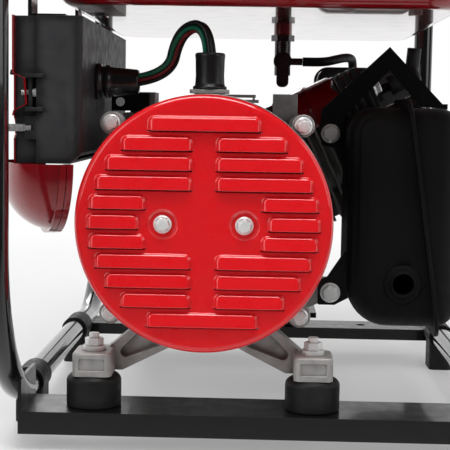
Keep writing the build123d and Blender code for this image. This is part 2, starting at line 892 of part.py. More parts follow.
def fin(along):
    """One square fin across the bore, its upper corner rounded on the alternator side."""
    face = Rectangle(2 * fin_half_width, 2 * fin_half_height)
    corner = face.vertices().sort_by(Axis.Y)[-2:].sort_by(Axis.X)[0]
    return on_cylinder(Pos(0, 0, along) * extrude(fillet(corner, fin_corner), fin_thickness))


def filler_axis():
    """Start point and direction of the oil filler neck."""
    return (Vector(case_right, 78, case_low + 32), Vector(cos(radians(40)), 0, sin(radians(40))))


def filler_place(along):
    """A location on the oil filler's axis, Z pointing out."""
    start, direction = filler_axis()
    return Plane(origin=start + direction * along, z_dir=direction).location


def filler_boss():
    """The oil filler neck."""
    return filler_place(2) * Cylinder(14, 36)


def filler_bore():
    """The filler neck's bore, open into the crankcase."""
    return filler_place(0) * Cylinder(9.5, 60)


def crankcase_cover():
    """The side cover that carries the front main bearing."""
    cover = block(case_left, case_right, case_cover_front, case_front, case_low, case_high)
    cover = fillet(cover.edges().filter_by(Axis.Y), 14)
    cover = cover - rod_y(
        crank_x, crank_z, case_cover_front + 1, case_front + sink, bearing_outer / 2 + fit_gap / 2
    )
    cover = cover - rod_y(crank_x, crank_z, case_cover_front - sink, case_front, bearing_outer / 2 - 4)
    for angle in (0, 90, 180, 270):
        x, z = at_crank(60, angle)
        cover = cover - rod_y(x, z, case_cover_front - sink, case_front - 2, 4 + fit_gap)
    for x, z in cover_bolt_points():
        cover = cover - rod_y(x, z, case_cover_front - sink, case_front + sink, 3 + bolt_clearance)
    return cover


def cover_bolt_points():
    """Centres of the crankcase cover's bolts."""
    inset = 14.0
    xs = (case_left + inset, case_right - inset)
    zs = (case_low + inset, case_high - inset)
    return [(x, z) for x in xs for z in zs]


def cylinder_head():
    """The finned head with ports, valve holes, bolt holes and the plug's thread."""
    top = deck + head_height
    tunnel = tunnel_across()
    body = bore_block(-47, 47, -tunnel - 10, 46, deck, top)
    for index in range(int(head_height / fin_pitch) + 1):
        body = body + fin(deck + index * fin_pitch)
    body = body + bore_block(-fin_half_width, fin_half_width, -24, 12, port_along() - 14, port_along() + 14)
    body = body - bore_rod(0, 0, deck - sink, deck + 9, bore_dia / 2 - 3)
    for y in (-17, 17):
        body = body - bore_rod(y, valve_across(), deck, top + sink, 3 + fit_gap)
        body = body - bore_rod(y, valve_across(), deck, port_along() + 8, 11)
    for sign in (-1, 1):
        start = on_cylinder(Pos(sign * 36, valve_across(), port_along()) * Rot(0, 90, 0) * Cylinder(10, 44))
        body = body - start
    for y in (-lobe_offset, lobe_offset):
        body = body - bore_rod(y, -tunnel, deck - sink, top + sink, 5)
    for y, across in head_bolt_points():
        body = body - bore_rod(y, across, deck - sink, top + sink, 4 + bolt_clearance)
    body = body - bore_rod(0, plug_across(), deck + 3, top + sink, 7 + fit_gap)
    return body


def port_along():
    """Distance of the ports from the crankshaft axis along the bore."""
    return deck + 26


def valve_across():
    """Where the valves lie across the bore."""
    return -6.0


def plug_across():
    """Where the spark plug lies across the bore."""
    return 33.0


def head_bolt_points():
    """The head bolts in the cylinder's frame, as Y and across."""
    return [(y, across) for y in (-40, 40) for across in (-46, 38)]


def valve_cover():
    """The pressed rocker cover."""
    top = deck + head_height
    low = -tunnel_across() - 8
    high = 16.0
    y_half = 28.0
    wall = 1.5
    cover = block(-y_half, y_half, low, high, top, top + valve_cover_height)
    cover = fillet(cover.edges().filter_by(Axis.Z), 10)
    cover = fillet(cover.faces().sort_by(Axis.Z)[-1].edges(), 6)
    hollow = block(
        -y_half + wall, y_half - wall, low + wall, high - wall, top - sink, top + valve_cover_height - wall
    )
    hollow = fillet(hollow.edges().filter_by(Axis.Z), 8)
    flange = block(-y_half - 1.5, y_half + 1.5, low - 2, high + 2, top, top + 2)
    return on_cylinder((cover + flange) - hollow)


def valve_train():
    """Valves, springs, rockers on their pivots, push rods and tappets."""
    top = deck + head_height
    tunnel = tunnel_across()
    pieces = []
    for y in (-17, 17):
        stem = rod_z(y, valve_across(), deck + 6, top + 22, 2.5) + rod_z(
            y, valve_across(), deck + 2, deck + 6, 10
        )
        pieces.append(on_cylinder(stem))
        spring = rod_z(y, valve_across(), top + seat_gap, top + 16, 9) - rod_z(
            y, valve_across(), top, top + 17, 6
        )
        pieces.append(on_cylinder(spring))
        cap = rod_z(y, valve_across(), top + 16, top + 19, 9) - rod_z(
            y, valve_across(), top, top + 20, 2.5 + fit_gap
        )
        pieces.append(on_cylinder(cap))
    for side in (-1, 1):
        y = side * lobe_offset
        pieces.append(bore_rod(side * 11, -30, top, top + 22, 4))
        tip = 17 * side
        arm = Polyline((y - 4, -tunnel - 4), (y + 4, -tunnel - 4), (tip + 5, valve_across() + 4),
                       (tip - 5, valve_across() + 4), close=True)
        arm_solid = Pos(0, 0, top + 22.5) * extrude(make_face(arm), 6)
        pieces.append(on_cylinder(arm_solid))
        rod_start = lobe_clear() + 13
        cam_along = cam_distance() * cos(radians(cylinder_tilt - cam_angle))
        pieces.append(bore_rod(y, -tunnel, cam_along + rod_start, top + 22, 3))
        pieces.append(bore_rod(y, -tunnel, cam_along + lobe_clear(), cam_along + rod_start - seat_gap, 4.8))
    return pieces


def lobe_clear():
    """How far the tappets stand off the camshaft's axis: past the lobes' tips."""
    return 18.0


def cam_distance():
    """Centre distance of the timing gears."""
    return gear_module * (crank_teeth + cam_teeth) / 2


def cam_centre():
    """X and Z of the camshaft."""
    return at_crank(cam_distance(), cam_angle)


def gear_sketch(teeth, phase):
    """An involute gear's face with a little backlash."""
    pitch_r = gear_module * teeth / 2
    base_r = pitch_r * cos(radians(20))
    tip_r = pitch_r + gear_module
    root_r = pitch_r - 1.25 * gear_module
    pitch_roll = sqrt((pitch_r / base_r) ** 2 - 1)
    half_tooth = pi / (2 * teeth) - gear_backlash / 2 / pitch_r + pitch_roll - radians(20)
    steps = 5
    points = []
    for tooth in range(teeth):
        centre = 2 * pi * tooth / teeth + radians(phase)
        tip_roll = sqrt((tip_r / base_r) ** 2 - 1)
        flank = []
        for step in range(steps):
            roll = tip_roll * step / (steps - 1)
            radius = base_r * sqrt(1 + roll * roll)
            turn = half_tooth - (roll - atan_of(roll))
            flank.append((radius, turn))
        low = [(root_r, half_tooth)] if root_r < base_r else []
        rise = [(r, centre - a) for r, a in low + flank]
        fall = [(r, centre + a) for r, a in reversed(low + flank)]
        points += [(r * cos(a), r * sin(a)) for r, a in rise + fall]
    return outline(points)


def atan_of(value):
    """Angle whose tangent is value, in radians."""
    return Vector(1, 0, 0).get_angle(Vector(1, value, 0)) * pi / 180


def crankshaft():
    """Front and rear halves of the built-up crankshaft and the two inner bearing rings."""
    web_gap = 22.0
    web = 13.0
    y_in = cylinder_y - web_gap / 2
    y_out = cylinder_y + web_gap / 2
    gear_y = case_front + 5
    front = rod_y(crank_x, crank_z, snout_end(), case_cover_front, snout_dia / 2)
    front = front + rod_y(crank_x, crank_z, case_cover_front, y_in - web, journal_dia / 2)
    front = front + web_shape(y_in - web, y_in - seat_gap)
    gear = Pos(crank_x, crank_z) * gear_sketch(crank_teeth, cam_angle)
    front = front + facing_y(gear, gear_y, gear_y + gear_width)
    rear = web_shape(y_out + seat_gap, y_out + web) + rod_y(
        crank_x, crank_z, y_out + web, case_back + 4, journal_dia / 2
    )
    rear = rear + rod_y(crank_x, crank_z, case_back + 4, case_back + 57, snout_dia / 2)
    return [
        front, rear,
        inner_ring(case_cover_front + 1), inner_ring(case_back - 3 - bearing_width),
    ]


def web_shape(y0, y1):
    """One crank web with its counterweight."""
    pin_x, pin_z = at_crank(crank_throw, cylinder_tilt)
    weight = rod_y(crank_x, crank_z, y0, y1, counterweight_r)
    keep = outline([(-80, -70), (4, -70), (4, 70), (-80, 70)])
    keep = facing_y(Pos(crank_x, crank_z) * Rot(0, 0, cylinder_tilt) * keep, y0 - sink, y1 + sink)
    return (weight & keep) + rod_y(pin_x, pin_z, y0, y1, 15) + rod_y(crank_x, crank_z, y0, y1, 22)


def connecting_rod():
    """Rod, cap and crankpin, at top dead centre."""
    half = 9.0
    rod = on_cylinder(Pos(0, 0, crank_throw) * Rot(0, 90, 0) * Cylinder(20, 2 * half))
    shank = bore_block(-half + 2, half - 2, -7, 7, crank_throw + 10, crank_throw + rod_length - 5)
    small = on_cylinder(Pos(0, 0, crank_throw + rod_length) * Rot(0, 90, 0) * Cylinder(11, 2 * half))
    upper = rod + shank + small
    split = bore_block(-30, 30, -40, 40, crank_throw - 40, crank_throw)
    cap = rod & split
    upper = upper - split
    pin_hole = on_cylinder(Pos(0, 0, crank_throw) * Rot(0, 90, 0) * Cylinder(13 + fit_gap, 60))
    wrist_hole = on_cylinder(
        Pos(0, 0, crank_throw + rod_length) * Rot(0, 90, 0) * Cylinder(7.5 + fit_gap, 60)
    )
    pin = on_cylinder(Pos(0, 0, crank_throw) * Rot(0, 90, 0) * Cylinder(13, 21.4))
    return [upper - pin_hole - wrist_hole, cap - pin_hole, pin]


def piston_set():
    """Piston, rings and wrist pin."""
    centre = crank_throw + rod_length
    crown = centre + crown_height
    r = bore_dia / 2 - fit_gap
    body = rod_z(0, 0, centre - 20, crown, r) - rod_z(0, 0, centre - 21, crown - 7, r - 5)
    bosses = block(-r + 4, -10, -12, 12, centre - 12, crown - 6) + block(
        10, r - 4, -12, 12, centre - 12, crown - 6
    )
    body = body + bosses
    pin = Pos(0, 0, centre) * Rot(0, 90, 0) * Cylinder(7.5, 2 * r - 6)
    body = body - Pos(0, 0, centre) * Rot(0, 90, 0) * Cylinder(7.5 + fit_gap, 2 * r + 4)
    rings = []
    for index in range(3):
        low = crown - 5 - 3.5 * index
        groove = rod_z(0, 0, low, low + 1.6, r + 1) - rod_z(0, 0, low, low + 1.6, r - 3)
        body = body - groove
        rings.append(rod_z(0, 0, low + 0.05, low + 1.55, r) - rod_z(0, 0, low, low + 1.6, r - 2.8))
    return [on_cylinder(shape) for shape in [body, pin] + rings]


def camshaft():
    """Camshaft with its gear and two lobes."""
    x, z = cam_centre()
    gear_y = case_front + 5
    shaft = rod_y(x, z, case_front + seat_gap, case_back - case_wall - seat_gap, 7)
    phase = cam_angle + 180 + 180 / cam_teeth
    shaft = shaft + facing_y(Pos(x, z) * gear_sketch(cam_teeth, phase), gear_y, gear_y + gear_width)
    half = lobe_width / 2
    for y, angle in ((-lobe_offset, 150), (lobe_offset, 255)):
        lobe_y = cylinder_y + y
        lobe = rod_y(x, z, lobe_y - half, lobe_y + half, 12)
        tip = (x + 8 * cos(radians(angle)), z + 8 * sin(radians(angle)))
        lobe = lobe + rod_y(tip[0], tip[1], lobe_y - half, lobe_y + half, 9)
        shaft = shaft + lobe
    return shaft


def make_engine_inside():
    """Block, crankshaft, piston, timing and valve gear."""
    save("crankcase", crankcase())
    save("crankcase_cover", crankcase_cover())
    save("cylinder_head", cylinder_head())
    save("valve_cover", valve_cover())
    save("valve_train", *valve_train())
    save("crankshaft", *crankshaft())
    save("connecting_rod", *connecting_rod())
    save("piston", *piston_set())
    save("camshaft", camshaft())
    sets = outer_bearing(cover_back + 4) + outer_bearing(case_cover_front + 1)
    sets += outer_bearing(case_back - 3 - bearing_width)
    save("bearing_outer_sets", *sets)


# ---------------------------------------------------------------- flywheel end

def flywheel_y():
    """Front face of the flywheel."""
    return case_back + 7


def flywheel():
    """Flywheel with its fan blades, nut and starter cup."""
    y = flywheel_y()
    r = flywheel_dia / 2
    body = rod_y(crank_x, crank_z, y, y + 26, r) - rod_y(crank_x, crank_z, y - sink, y + 16, r - 14)
    body = body + rod_y(crank_x, crank_z, y, y + 30, 24)
    for index in range(16):
        blade = Pos(r - 20, 0) * Rot(0, 0, 18) * Rectangle(30, 2.6)
        blade = Pos(crank_x, crank_z) * Rot(0, 0, 360 / 16 * index) * blade
        body = body + facing_y(blade, y + 25, y + 40)
    body = body - rod_y(crank_x, crank_z, y - sink, y + 40, snout_dia / 2 + fit_gap / 2)
    cup = ring_y(crank_x, crank_z, y + 30, y + 48, 38, 36) + ring_y(
        crank_x, crank_z, y + 30, y + 32, 37, 11
    )
    nut = hexagon_y(crank_x, crank_z, y + 32, y + 44, 22)
    nut = nut - rod_y(crank_x, crank_z, y + 20, y + 50, snout_dia / 2 + fit_gap)
    return [body, cup, nut]


def ignition_coil():
    """Coil block beside the flywheel's rim on two posts."""
    y = flywheel_y()
    rim = flywheel_dia / 2 + 0.6
    block_part = Pos(crank_x, 0, crank_z) * Rot(0, -coil_angle, 0) * block(
        rim + 1, rim + 10, y + 2, y + 22, -24, 24
    )
    posts = []
    for z in (-13, 13):
        post = block(rim + 2, rim + 9, case_back, y + 2, z - 4, z + 4)
        posts.append(Pos(crank_x, 0, crank_z) * Rot(0, -coil_angle, 0) * post)
    return [block_part + posts[0] + posts[1]]


def blower_sketch(shrink):
    """Outline of the blower housing: a round drum with a duct along the cylinder."""
    drum = Circle(blower_dia / 2 - shrink)
    duct = Pos(duct_reach / 2, 22) * Rectangle(duct_reach - 2 * shrink, 84 - 2 * shrink)
    duct = Rot(0, 0, cylinder_tilt) * duct
    return Pos(crank_x, crank_z) * (drum + duct)


def blower_housing():
    """The pressed housing around the flywheel."""
    y0 = case_back + 1.5
    y1 = y0 + duct_depth
    y2 = y0 + blower_depth
    body = facing_y(blower_sketch(0), y0, y1) + rod_y(crank_x, crank_z, y0, y2, blower_dia / 2)
    inside = facing_y(blower_sketch(sheet), y0 - sink, y1 - sheet)
    inside = inside + rod_y(crank_x, crank_z, y0 - sink, y2 - sheet, blower_dia / 2 - sheet)
    body = body - inside - rod_y(crank_x, crank_z, y0, y2 + sink, recoil_dia / 2 - 14)
    tabs = []
    for angle in (218, 270, 322):
        x, z = at_crank(blower_dia / 2 - 5, angle)
        tabs.append(block(x - 8, x + 8, case_back, y0 + sheet, z - 8, z + 8))
    keep = facing_y(blower_sketch(sheet / 2), case_back - sink, y2)
    for tab in tabs:
        body = body + (tab & keep & crankcase_back_zone())
    return body


def crankcase_back_zone():
    """Space behind the crankcase's rear wall, where the housing is fixed."""
    return block(case_left, case_right, case_back, case_back + 40, case_low + 10, case_high)


def recoil_y():
    """Where the recoil housing meets the blower housing."""
    return case_back + 1.5 + blower_depth


def rope_z():
    """Height at which the starter rope leaves the pulley."""
    return crank_z + pulley_dia / 2 - rope_dia


def recoil_housing():
    """The starter's dished housing, with slots, the pulley's post and the rope's eyelet."""
    y0 = recoil_y()
    y1 = y0 + recoil_depth
    r = recoil_dia / 2
    outer = rod_y(crank_x, crank_z, y0, y1, r)
    outer = fillet(outer.edges().sort_by(Axis.Y)[-1], 12)
    inner = rod_y(crank_x, crank_z, y0 - sink, y1 - sheet, r - sheet)
    inner = fillet(inner.edges().sort_by(Axis.Y)[-1], 12 - sheet)
    body = outer - inner
    body = body + ring_y(crank_x, crank_z, y0, y0 + sheet, r + 9, r - sheet / 2)
    for index in range(12):
        slot = Pos(58, 0) * RectangleRounded(26, 9, 4)
        slot = Pos(crank_x, crank_z) * Rot(0, 0, 30 * index + 15) * slot
        body = body - facing_y(slot, y1 - 5, y1 + sink)
    for index in range(10):
        x, z = at_crank(r, 36 * index + 18 + 90)
        body = body - rod_slot(x, z, y0 + 12, y1 - 18, 36 * index + 18 + 90)
    body = body + rod_y(crank_x, crank_z, y0 + 10, y1 - sheet / 2, pulley_post_dia / 2)
    eyelet_x = crank_x - sqrt(r ** 2 - (rope_z() - crank_z) ** 2)
    eyelet = rod_x(rope_y(), rope_z(), eyelet_x - 6, eyelet_x + 4, 8)
    body = body + (eyelet - inner_block(eyelet_x))
    return body - rod_x(rope_y(), rope_z(), eyelet_x - 8, eyelet_x + 30, rope_dia / 2 + 0.5)


def inner_block(eyelet_x):
    """Keeps the eyelet out of the pulley's space."""
    return rod_y(crank_x, crank_z, recoil_y(), recoil_y() + recoil_depth, recoil_dia / 2 - sheet)


def rod_slot(x, z, y0, y1, angle):
    """A short slot through the drum's side at an angle."""
    cutter = block(-6, 6, y0, y1, -4, 4)
    return Pos(x, 0, z) * Rot(0, -angle, 0) * cutter


def rope_y():
    """Y of the starter rope."""
    return recoil_y() + 20


def starter_pulley():
    """The grooved pulley with the rope wound on it."""
    y = rope_y()
    r = pulley_dia / 2
    body = rod_y(crank_x, crank_z, y - 6, y + 6, r) - ring_y(
        crank_x, crank_z, y - 3.2, y + 3.2, r + 2, r - 9
    )
    body = body + rod_y(crank_x, crank_z, y - 6, y + 14, 14)
    body = body - rod_y(crank_x, crank_z, y - 20, y + 30, pulley_post_dia / 2 + fit_gap)
    rope = ring_y(crank_x, crank_z, y - 3, y + 3, r - 3, r - 8.8)
    return [body, rope]


def starter_handle():
    """The T-shaped grip with the rope's end."""
    y = rope_y()
    z = rope_z()
    eyelet_x = crank_x - sqrt((recoil_dia / 2) ** 2 - (z - crank_z) ** 2)
    grip = block(grip_x - 11, grip_x + 11, y - 12, y + 12, z - 48, z + 48)
    grip = fillet(grip.edges().filter_by(Axis.Z), 9)
    grip = fillet(grip.faces().sort_by(Axis.Z)[-1].edges() + grip.faces().sort_by(Axis.Z)[0].edges(), 5)
    grip = grip + rod_x(y, z, grip_x, eyelet_x - 6 - 1.0, 8)
    return grip + rod_x(y, z, grip_x, eyelet_x - 3, rope_dia / 2)


def cylinder_shroud():
    """The pressed shroud over the cylinder's fins, rounded on the alternator side."""
    half = fin_half_width + 2.5
    high = fin_half_height + 3.5
    radius = 34.0
    low = 26.0
    along0 = barrel_start + 10
    along1 = deck + 18
    profile = make_face(Polyline((-half, low), (half, low), (half, high), (-half, high), close=True))
    profile = fillet(profile.vertices().sort_by(Axis.Y)[-2:].sort_by(Axis.X)[0], radius)
    inner = make_face(
        Polyline((-half + sheet, low - sink), (half + sink, low - sink), (half + sink, high - sheet),
                 (-half + sheet, high - sheet), close=True)
    )
    inner = fillet(inner.vertices().sort_by(Axis.Y)[-2:].sort_by(Axis.X)[0], radius - sheet)
    shell = extrude(Pos(0, 0, along0) * profile, along1 - along0) - extrude(
        Pos(0, 0, along0 - sink) * inner, along1 - along0 + 2 * sink
    )
    bead_profile = offset(profile, 1.6, kind=Kind.INTERSECTION) - profile
    bead = extrude(Pos(0, 0, along0 + 20) * bead_profile, 5) & block(-90, half, low, 90, 0, 300)
    foot = block(-half + 14, half, fin_half_height, high - sheet / 2, deck - 6, deck + 10)
    foot = foot & block(-20, 20, 0, 200, 0, 300)
    return on_cylinder(shell + bead + foot)


def make_flywheel_end():
    """Flywheel, ignition, housings and starter."""
    save("flywheel", *flywheel())
    save("ignition_coil", *ignition_coil())
    save("blower_housing", blower_housing())
    save("recoil_housing", recoil_housing())
    save("starter_pulley", *starter_pulley())
    save("starter_handle", starter_handle())
    save("cylinder_shroud", cylinder_shroud())


# ---------------------------------------------------------------- intake, ignition, oil

def port_centre():
    """X and Z of the ports' centre."""
    along = port_along()
    across = valve_across()
    return (
        crank_x + along * cos(tilt) - across * sin(tilt),
        crank_z + along * sin(tilt) + across * cos(tilt),
    )


def carb_y0():
    """Y of the carburettor's flange face."""
    return cylinder_y + fin_half_width + 5


def carburettor():
    """Insulator, body, float bowl and throttle stop."""
    x, z = port_centre()
    y0 = carb_y0()
    insulator = block(x - 17, x + 17, cylinder_y + 52, y0, z - 17, z + 17)
    insulator = insulator - rod_y(x, z, cylinder_y, y0 + sink, 9.5)
    body = block(x - 15, x + 20, y0, y0 + 42, z - 15, z + 18)
    body = fillet(body.edges().filter_by(Axis.Y), 6)
    body = body + rod_y(x, z, y0 + 38, y0 + 50, 18) + rod_z(x + 3, y0 + 22, z - 19, z - 12, 15)
    body = body - rod_y(x, z, y0 - sink, y0 + 52, 9.5)
    bowl = rod_z(x + 3, y0 + 22, z - 44, z - 19, 18)
    bowl = fillet(bowl.faces().sort_by(Axis.Z)[0].edges(), 6)
    nut = hexagon_z(x + 3, y0 + 22, z - 50, z - 44, 10)
    inlet = rod_z(x - 8, y0 + 16, z + 14, z + 26, 3)
    boss = rod_z(x - 2, y0 + 30, z + 17, z + 24, 6) - rod_z(x - 2, y0 + 30, z, z + 30, 3 + fit_gap)
    return [insulator, body + inlet + boss, bowl + nut]


def choke_lever():
    """The choke's flat lever on its upright spindle."""
    x, z = port_centre()
    y = carb_y0() + 30
    spindle = rod_z(x - 2, y, z + 19, z + 30, 3)
    arm = block(x - 8, x + 46, y - 5, y + 5, z + 27, z + 30)
    arm = fillet(arm.edges().filter_by(Axis.Z), 4.5)
    tab = block(x + 40, x + 46, y - 5, y + 5, z + 29, z + 40)
    return spindle + arm + tab


def air_cleaner():
    """Case against the carburettor and the cover in front of it."""
    x, z = port_centre()
    y0 = carb_y0() + 50
    x0 = x - 44
    x1 = x + 62
    z0 = z - 36
    z1 = z + 76
    case = block(x0, x1, y0, y0 + 34, z0, z1)
    case = fillet(case.edges().filter_by(Axis.Y), 14)
    inner = block(x0 + 2, x1 - 2, y0 + 2, y0 + 40, z0 + 2, z1 - 2)
    inner = fillet(inner.edges().filter_by(Axis.Y), 12)
    case = case - inner - rod_y(x, z, y0 - sink, y0 + 5, 12)
    cover = block(x0 - 2, x1 + 2, y0 + 34, y0 + 62, z0 - 2, z1 + 2)
    cover = fillet(cover.edges().filter_by(Axis.Y), 15)
    cover = fillet(cover.faces().sort_by(Axis.Y)[-1].edges(), 10)
    hollow = block(x0 + 1, x1 - 1, y0 + 33, y0 + 59, z0 + 1, z1 - 1)
    hollow = fillet(hollow.edges().filter_by(Axis.Y), 10)
    element = block(x0 + 6, x1 - 6, y0 + 8, y0 + 52, z0 + 6, z1 - 6)
    element = element - block(x0 + 24, x1 - 24, y0, y0 + 38, z0 + 24, z1 - 24)
    knob = rod_y((x0 + x1) / 2, (z0 + z1) / 2, y0 + 62, y0 + 70, 13)
    return [case, cover - hollow, element, knob]


def spark_plug():
    """Plug, insulator and the rubber cap."""
    top = deck + head_height
    across = plug_across()
    thread = rod_z(0, across, deck + 5, top, 7)
    hexagon = Pos(0, across, top) * extrude(RegularPolygon(10.4, 6, major_radius=False), 9)
    insulator = rod_z(0, across, top + 9, top + 34, 5)
    cap = rod_z(0, across, top + 20, top + 52, 10)
    cap = fillet(cap.faces().sort_by(Axis.Z)[-1].edges(), 4)
    lead = Pos(0, across, top + 44) * Rot(-60, 0, 0) * Pos(0, 0, 14) * Cylinder(7, 28)
    cap = (cap + lead) - rod_z(0, across, top + 19, top + 40, 5 + fit_gap)
    return [on_cylinder(thread + hexagon + insulator), on_cylinder(cap)]


def governor_pivot():
    """X and Y of the governor's upright shaft."""
    return (crank_x - 5, 20.0)


def governor_arm():
    """Governor shaft, bent arm, link rod and its end ball."""
    x, y = governor_pivot()
    z = case_high
    shaft = rod_z(x, y, z + 1, z + 30, 4)
    arm = block(x - 8, x + 8, y - 8, y + 8, z + 20, z + 23)
    arm = arm + block(x, x + 45, y - 6, y + 6, z + 20, z + 23)
    link = rod_x(y, z + 26.5, x + 2, x + 42, 1.5) + rod_z(x + 40, y, z + 22, z + 26.5, 1.2)
    return shaft + arm + link


def governor_boss():
    """The boss that the governor's shaft turns in, before it is bored."""
    x, y = governor_pivot()
    return rod_z(x, y, case_high - 2, case_high + 12, 9)


def oil_dipstick():
    """The filler cap with its grip and stick."""
    neck = 20.0
    cap = filler_place(neck + 4) * Cylinder(16, 8)
    grip = filler_place(neck + 14) * Box(24, 6, 12)
    stick = filler_place(neck - 18) * Cylinder(2.5, 36)
    plug = filler_place(neck - 4) * Cylinder(9.0, 8)
    return cap + grip + stick + plug


def make_intake():
    """Everything on the recoil side of the head, with plug and oil filler."""
    save("carburettor", *carburettor())
    save("choke_lever", choke_lever())
    save("air_cleaner", *air_cleaner())
    save("spark_plug", *spark_plug())
    save("governor_arm", governor_arm())
    save("oil_dipstick", oil_dipstick())


# ---------------------------------------------------------------- exhaust

def muffler_outline(grow):
    """The muffler's end outline, its lower left corner well rounded."""
    x0 = muffler_left - grow
    x1 = muffler_right + grow
    z0 = muffler_low - grow
    z1 = muffler_high + grow
    face = make_face(Polyline((x0, z0), (x1, z0), (x1, z1), (x0, z1), close=True))
    low_left = face.vertices().sort_by(Axis.X)[:2].sort_by(Axis.Y)[0]
    face = fillet(low_left, 38 + grow)
    top_left = face.vertices().sort_by(Axis.Y)[-2:].sort_by(Axis.X)[0]
    face = fillet(top_left, 26 + grow)
    right = face.vertices().sort_by(Axis.X)[-2:]
    return fillet(right, 22 + grow)


def seam_side(side, offset_by):
    """A large block on one side of the leaning seam plane."""
    lean_x = seam_low_x - seam_top_x
    lean_z = muffler_high - muffler_low + 20
    length = sqrt(lean_x ** 2 + lean_z ** 2)
    plane = Plane(
        origin=((seam_low_x + seam_top_x) / 2, 0, (muffler_high + muffler_low) / 2),
        x_dir=(0, 1, 0),
        z_dir=(lean_z / length, 0, lean_x / length),
    )
    low, high = (offset_by, 300) if side > 0 else (-300, -offset_by)
    return plane.location * block(-400, 400, -400, 400, low, high)


def muffler_shell():
    """The whole hollow muffler with rounded ends, before it is split at the seam."""
    body = facing_y(muffler_outline(0), muffler_front, muffler_back)
    body = fillet(body.faces().sort_by(Axis.Y)[0].edges(), muffler_edge)
    body = fillet(body.faces().sort_by(Axis.Y)[-1].edges(), 11)
    inside = facing_y(
        muffler_outline(-muffler_sheet), muffler_front + muffler_sheet, muffler_back - muffler_sheet
    )
    inside = fillet(inside.faces().sort_by(Axis.Y)[0].edges(), muffler_edge - muffler_sheet)
    inside = fillet(inside.faces().sort_by(Axis.Y)[-1].edges(), 9)
    return body, inside


def muffler_ribs():
    """Three upright stiffening ribs round the inner half's front edge."""
    ribs = []
    reach = muffler_edge - rib_radius + rib_rise
    for angle in rib_angles:
        x = muffler_left + muffler_edge - reach * cos(radians(angle))
        y = muffler_front + muffler_edge - reach * sin(radians(angle))
        low = muffler_low + 76
        high = muffler_high - 34
        ribs += [rod_z(x, y, low, high, rib_radius)]
        ribs += [Pos(x, y, z) * Sphere(rib_radius) for z in (low, high)]
    return ribs


def muffler_halves():
    """Two stamped halves with their seam flanges, the outlet and the inlet."""
    body, inside = muffler_shell()
    flange = facing_y(
        muffler_outline(seam_flange - 1), muffler_front - seam_flange,
        muffler_back + seam_flange - 3,
    )
    halves = []
    for side in (-1, 1):
        half = (body - inside) & seam_side(side, 0)
        rim = (flange & seam_side(side, 0)) - seam_side(side, muffler_sheet) - body
        halves.append(half + rim)
    for rib in muffler_ribs():
        halves[0] = halves[0] + (rib - inside)
    boss = rod_y(outlet_x, outlet_z, muffler_front - boss_height, muffler_front + 0.5, boss_dia / 2)
    boss = fillet(boss.edges().sort_by(Axis.Y)[0], 1.5)
    halves[0] = halves[0] + boss
    outlet = ring_y(
        outlet_x, outlet_z, muffler_front - 4, muffler_front + 30, outlet_dia / 2 + 1.5,
        outlet_dia / 2,
    )
    halves[0] = halves[0] - rod_y(
        outlet_x, outlet_z, muffler_front - 5, muffler_front + 12, outlet_dia / 2 + 1
    )
    halves[0] = halves[0] + outlet
    x, z = port_centre()
    halves[0] = halves[0] - rod_y(x, z, muffler_back - 12, muffler_back + 12, 10)
    return halves


def exhaust_pipe():
    """The short flanged pipe from the head to the muffler."""
    x, z = port_centre()
    y1 = cylinder_y - fin_half_width
    flange = block(x - 24, x + 24, y1 - 5, y1, z - 14, z + 14)
    flange = fillet(flange.edges().filter_by(Axis.Y), 8)
    pipe = rod_y(x, z, muffler_back, y1, 12)
    return (flange + pipe) - rod_y(x, z, muffler_back - sink, y1 + sink, 10)


def engine_brackets():
    """Base plate, muffler brackets, the muffler's top stay and the lead clip."""
    left = crank_x - rear_mount_spacing / 2 - 25
    right = crank_x + rear_mount_spacing / 2 + 25
    base = block(left, right, case_front + 4, rear_member_y[1], case_low - base_plate, case_low)
    for x in rear_mount_x():
        base = base - rod_z(x, rear_mount_y, 0, case_low + sink, stud_dia / 2 + bolt_clearance)
    pieces = [base]
    x, z = muffler_low_bolt()
    seat = muffler_low_seat()
    points = [
        (x - 11, z - 11), (x + 4, z - 11), (muffler_left + 4, z - 4), (muffler_left + 1, z + 40),
        (x - 3, z + 14), (x - 11, z + 11),
    ]
    low = facing_y(outline(points, 1.5), seat - plate, seat)
    pieces.append(bracket_on_muffler(low) - rod_y(x, z, seat - 9, seat + 9, 4 + bolt_clearance))
    x, z = muffler_high_bolt()
    seat = muffler_high_seat()
    points = [
        (x - 11, z + 8), (x - 8, z - 11), (x + 6, z - 14), (muffler_left + 6, z - 40),
        (muffler_left + 8, z + 10), (x + 2, z + 12),
    ]
    high = facing_y(outline(points, 1.5), seat - plate, seat) + top_stay(seat)
    pieces.append(bracket_on_muffler(high) - rod_y(x, z, seat - 9, seat + 9, 4 + bolt_clearance))
    return pieces + [lead_clip()]


def bracket_on_muffler(shape):
    """Trim a bracket so that it ends on the muffler's skin."""
    return shape - muffler_shell()[0]


def top_stay(seat):
    """The peaked strap from the upper bracket over to the muffler's top."""
    x, z = muffler_high_bolt()
    apex = seam_top_x - 9
    top = muffler_high
    foot = apex + 32
    strap = outline([
        (x - 10, z + 6), (x + 2, z + 8), (muffler_left + 2, top - 8), (apex, top + 33),
        (foot, top - 2), (foot + 23, top - 2), (apex, top + 55), (x - 9, z + 22),
    ])
    turned = block(foot, foot + 23, seat - plate, seat + 18, top - 2, top + plate)
    return facing_y(strap, seat - plate, seat) + turned


def lead_clip():
    """The small plate with a hole on the front bracket's left lug."""
    x, z = adapter_lugs()[1]
    y = bracket_front + 8
    clip = block(x - 28, x + 6, y - plate, y, z - 12, z + 4)
    clip = clip - rod_y(x - 20, z - 4, y - 9, y + 9, 4)
    return clip - rod_y(crank_x, crank_z, y - 9, y + 9, cover_dia / 2 + 2)


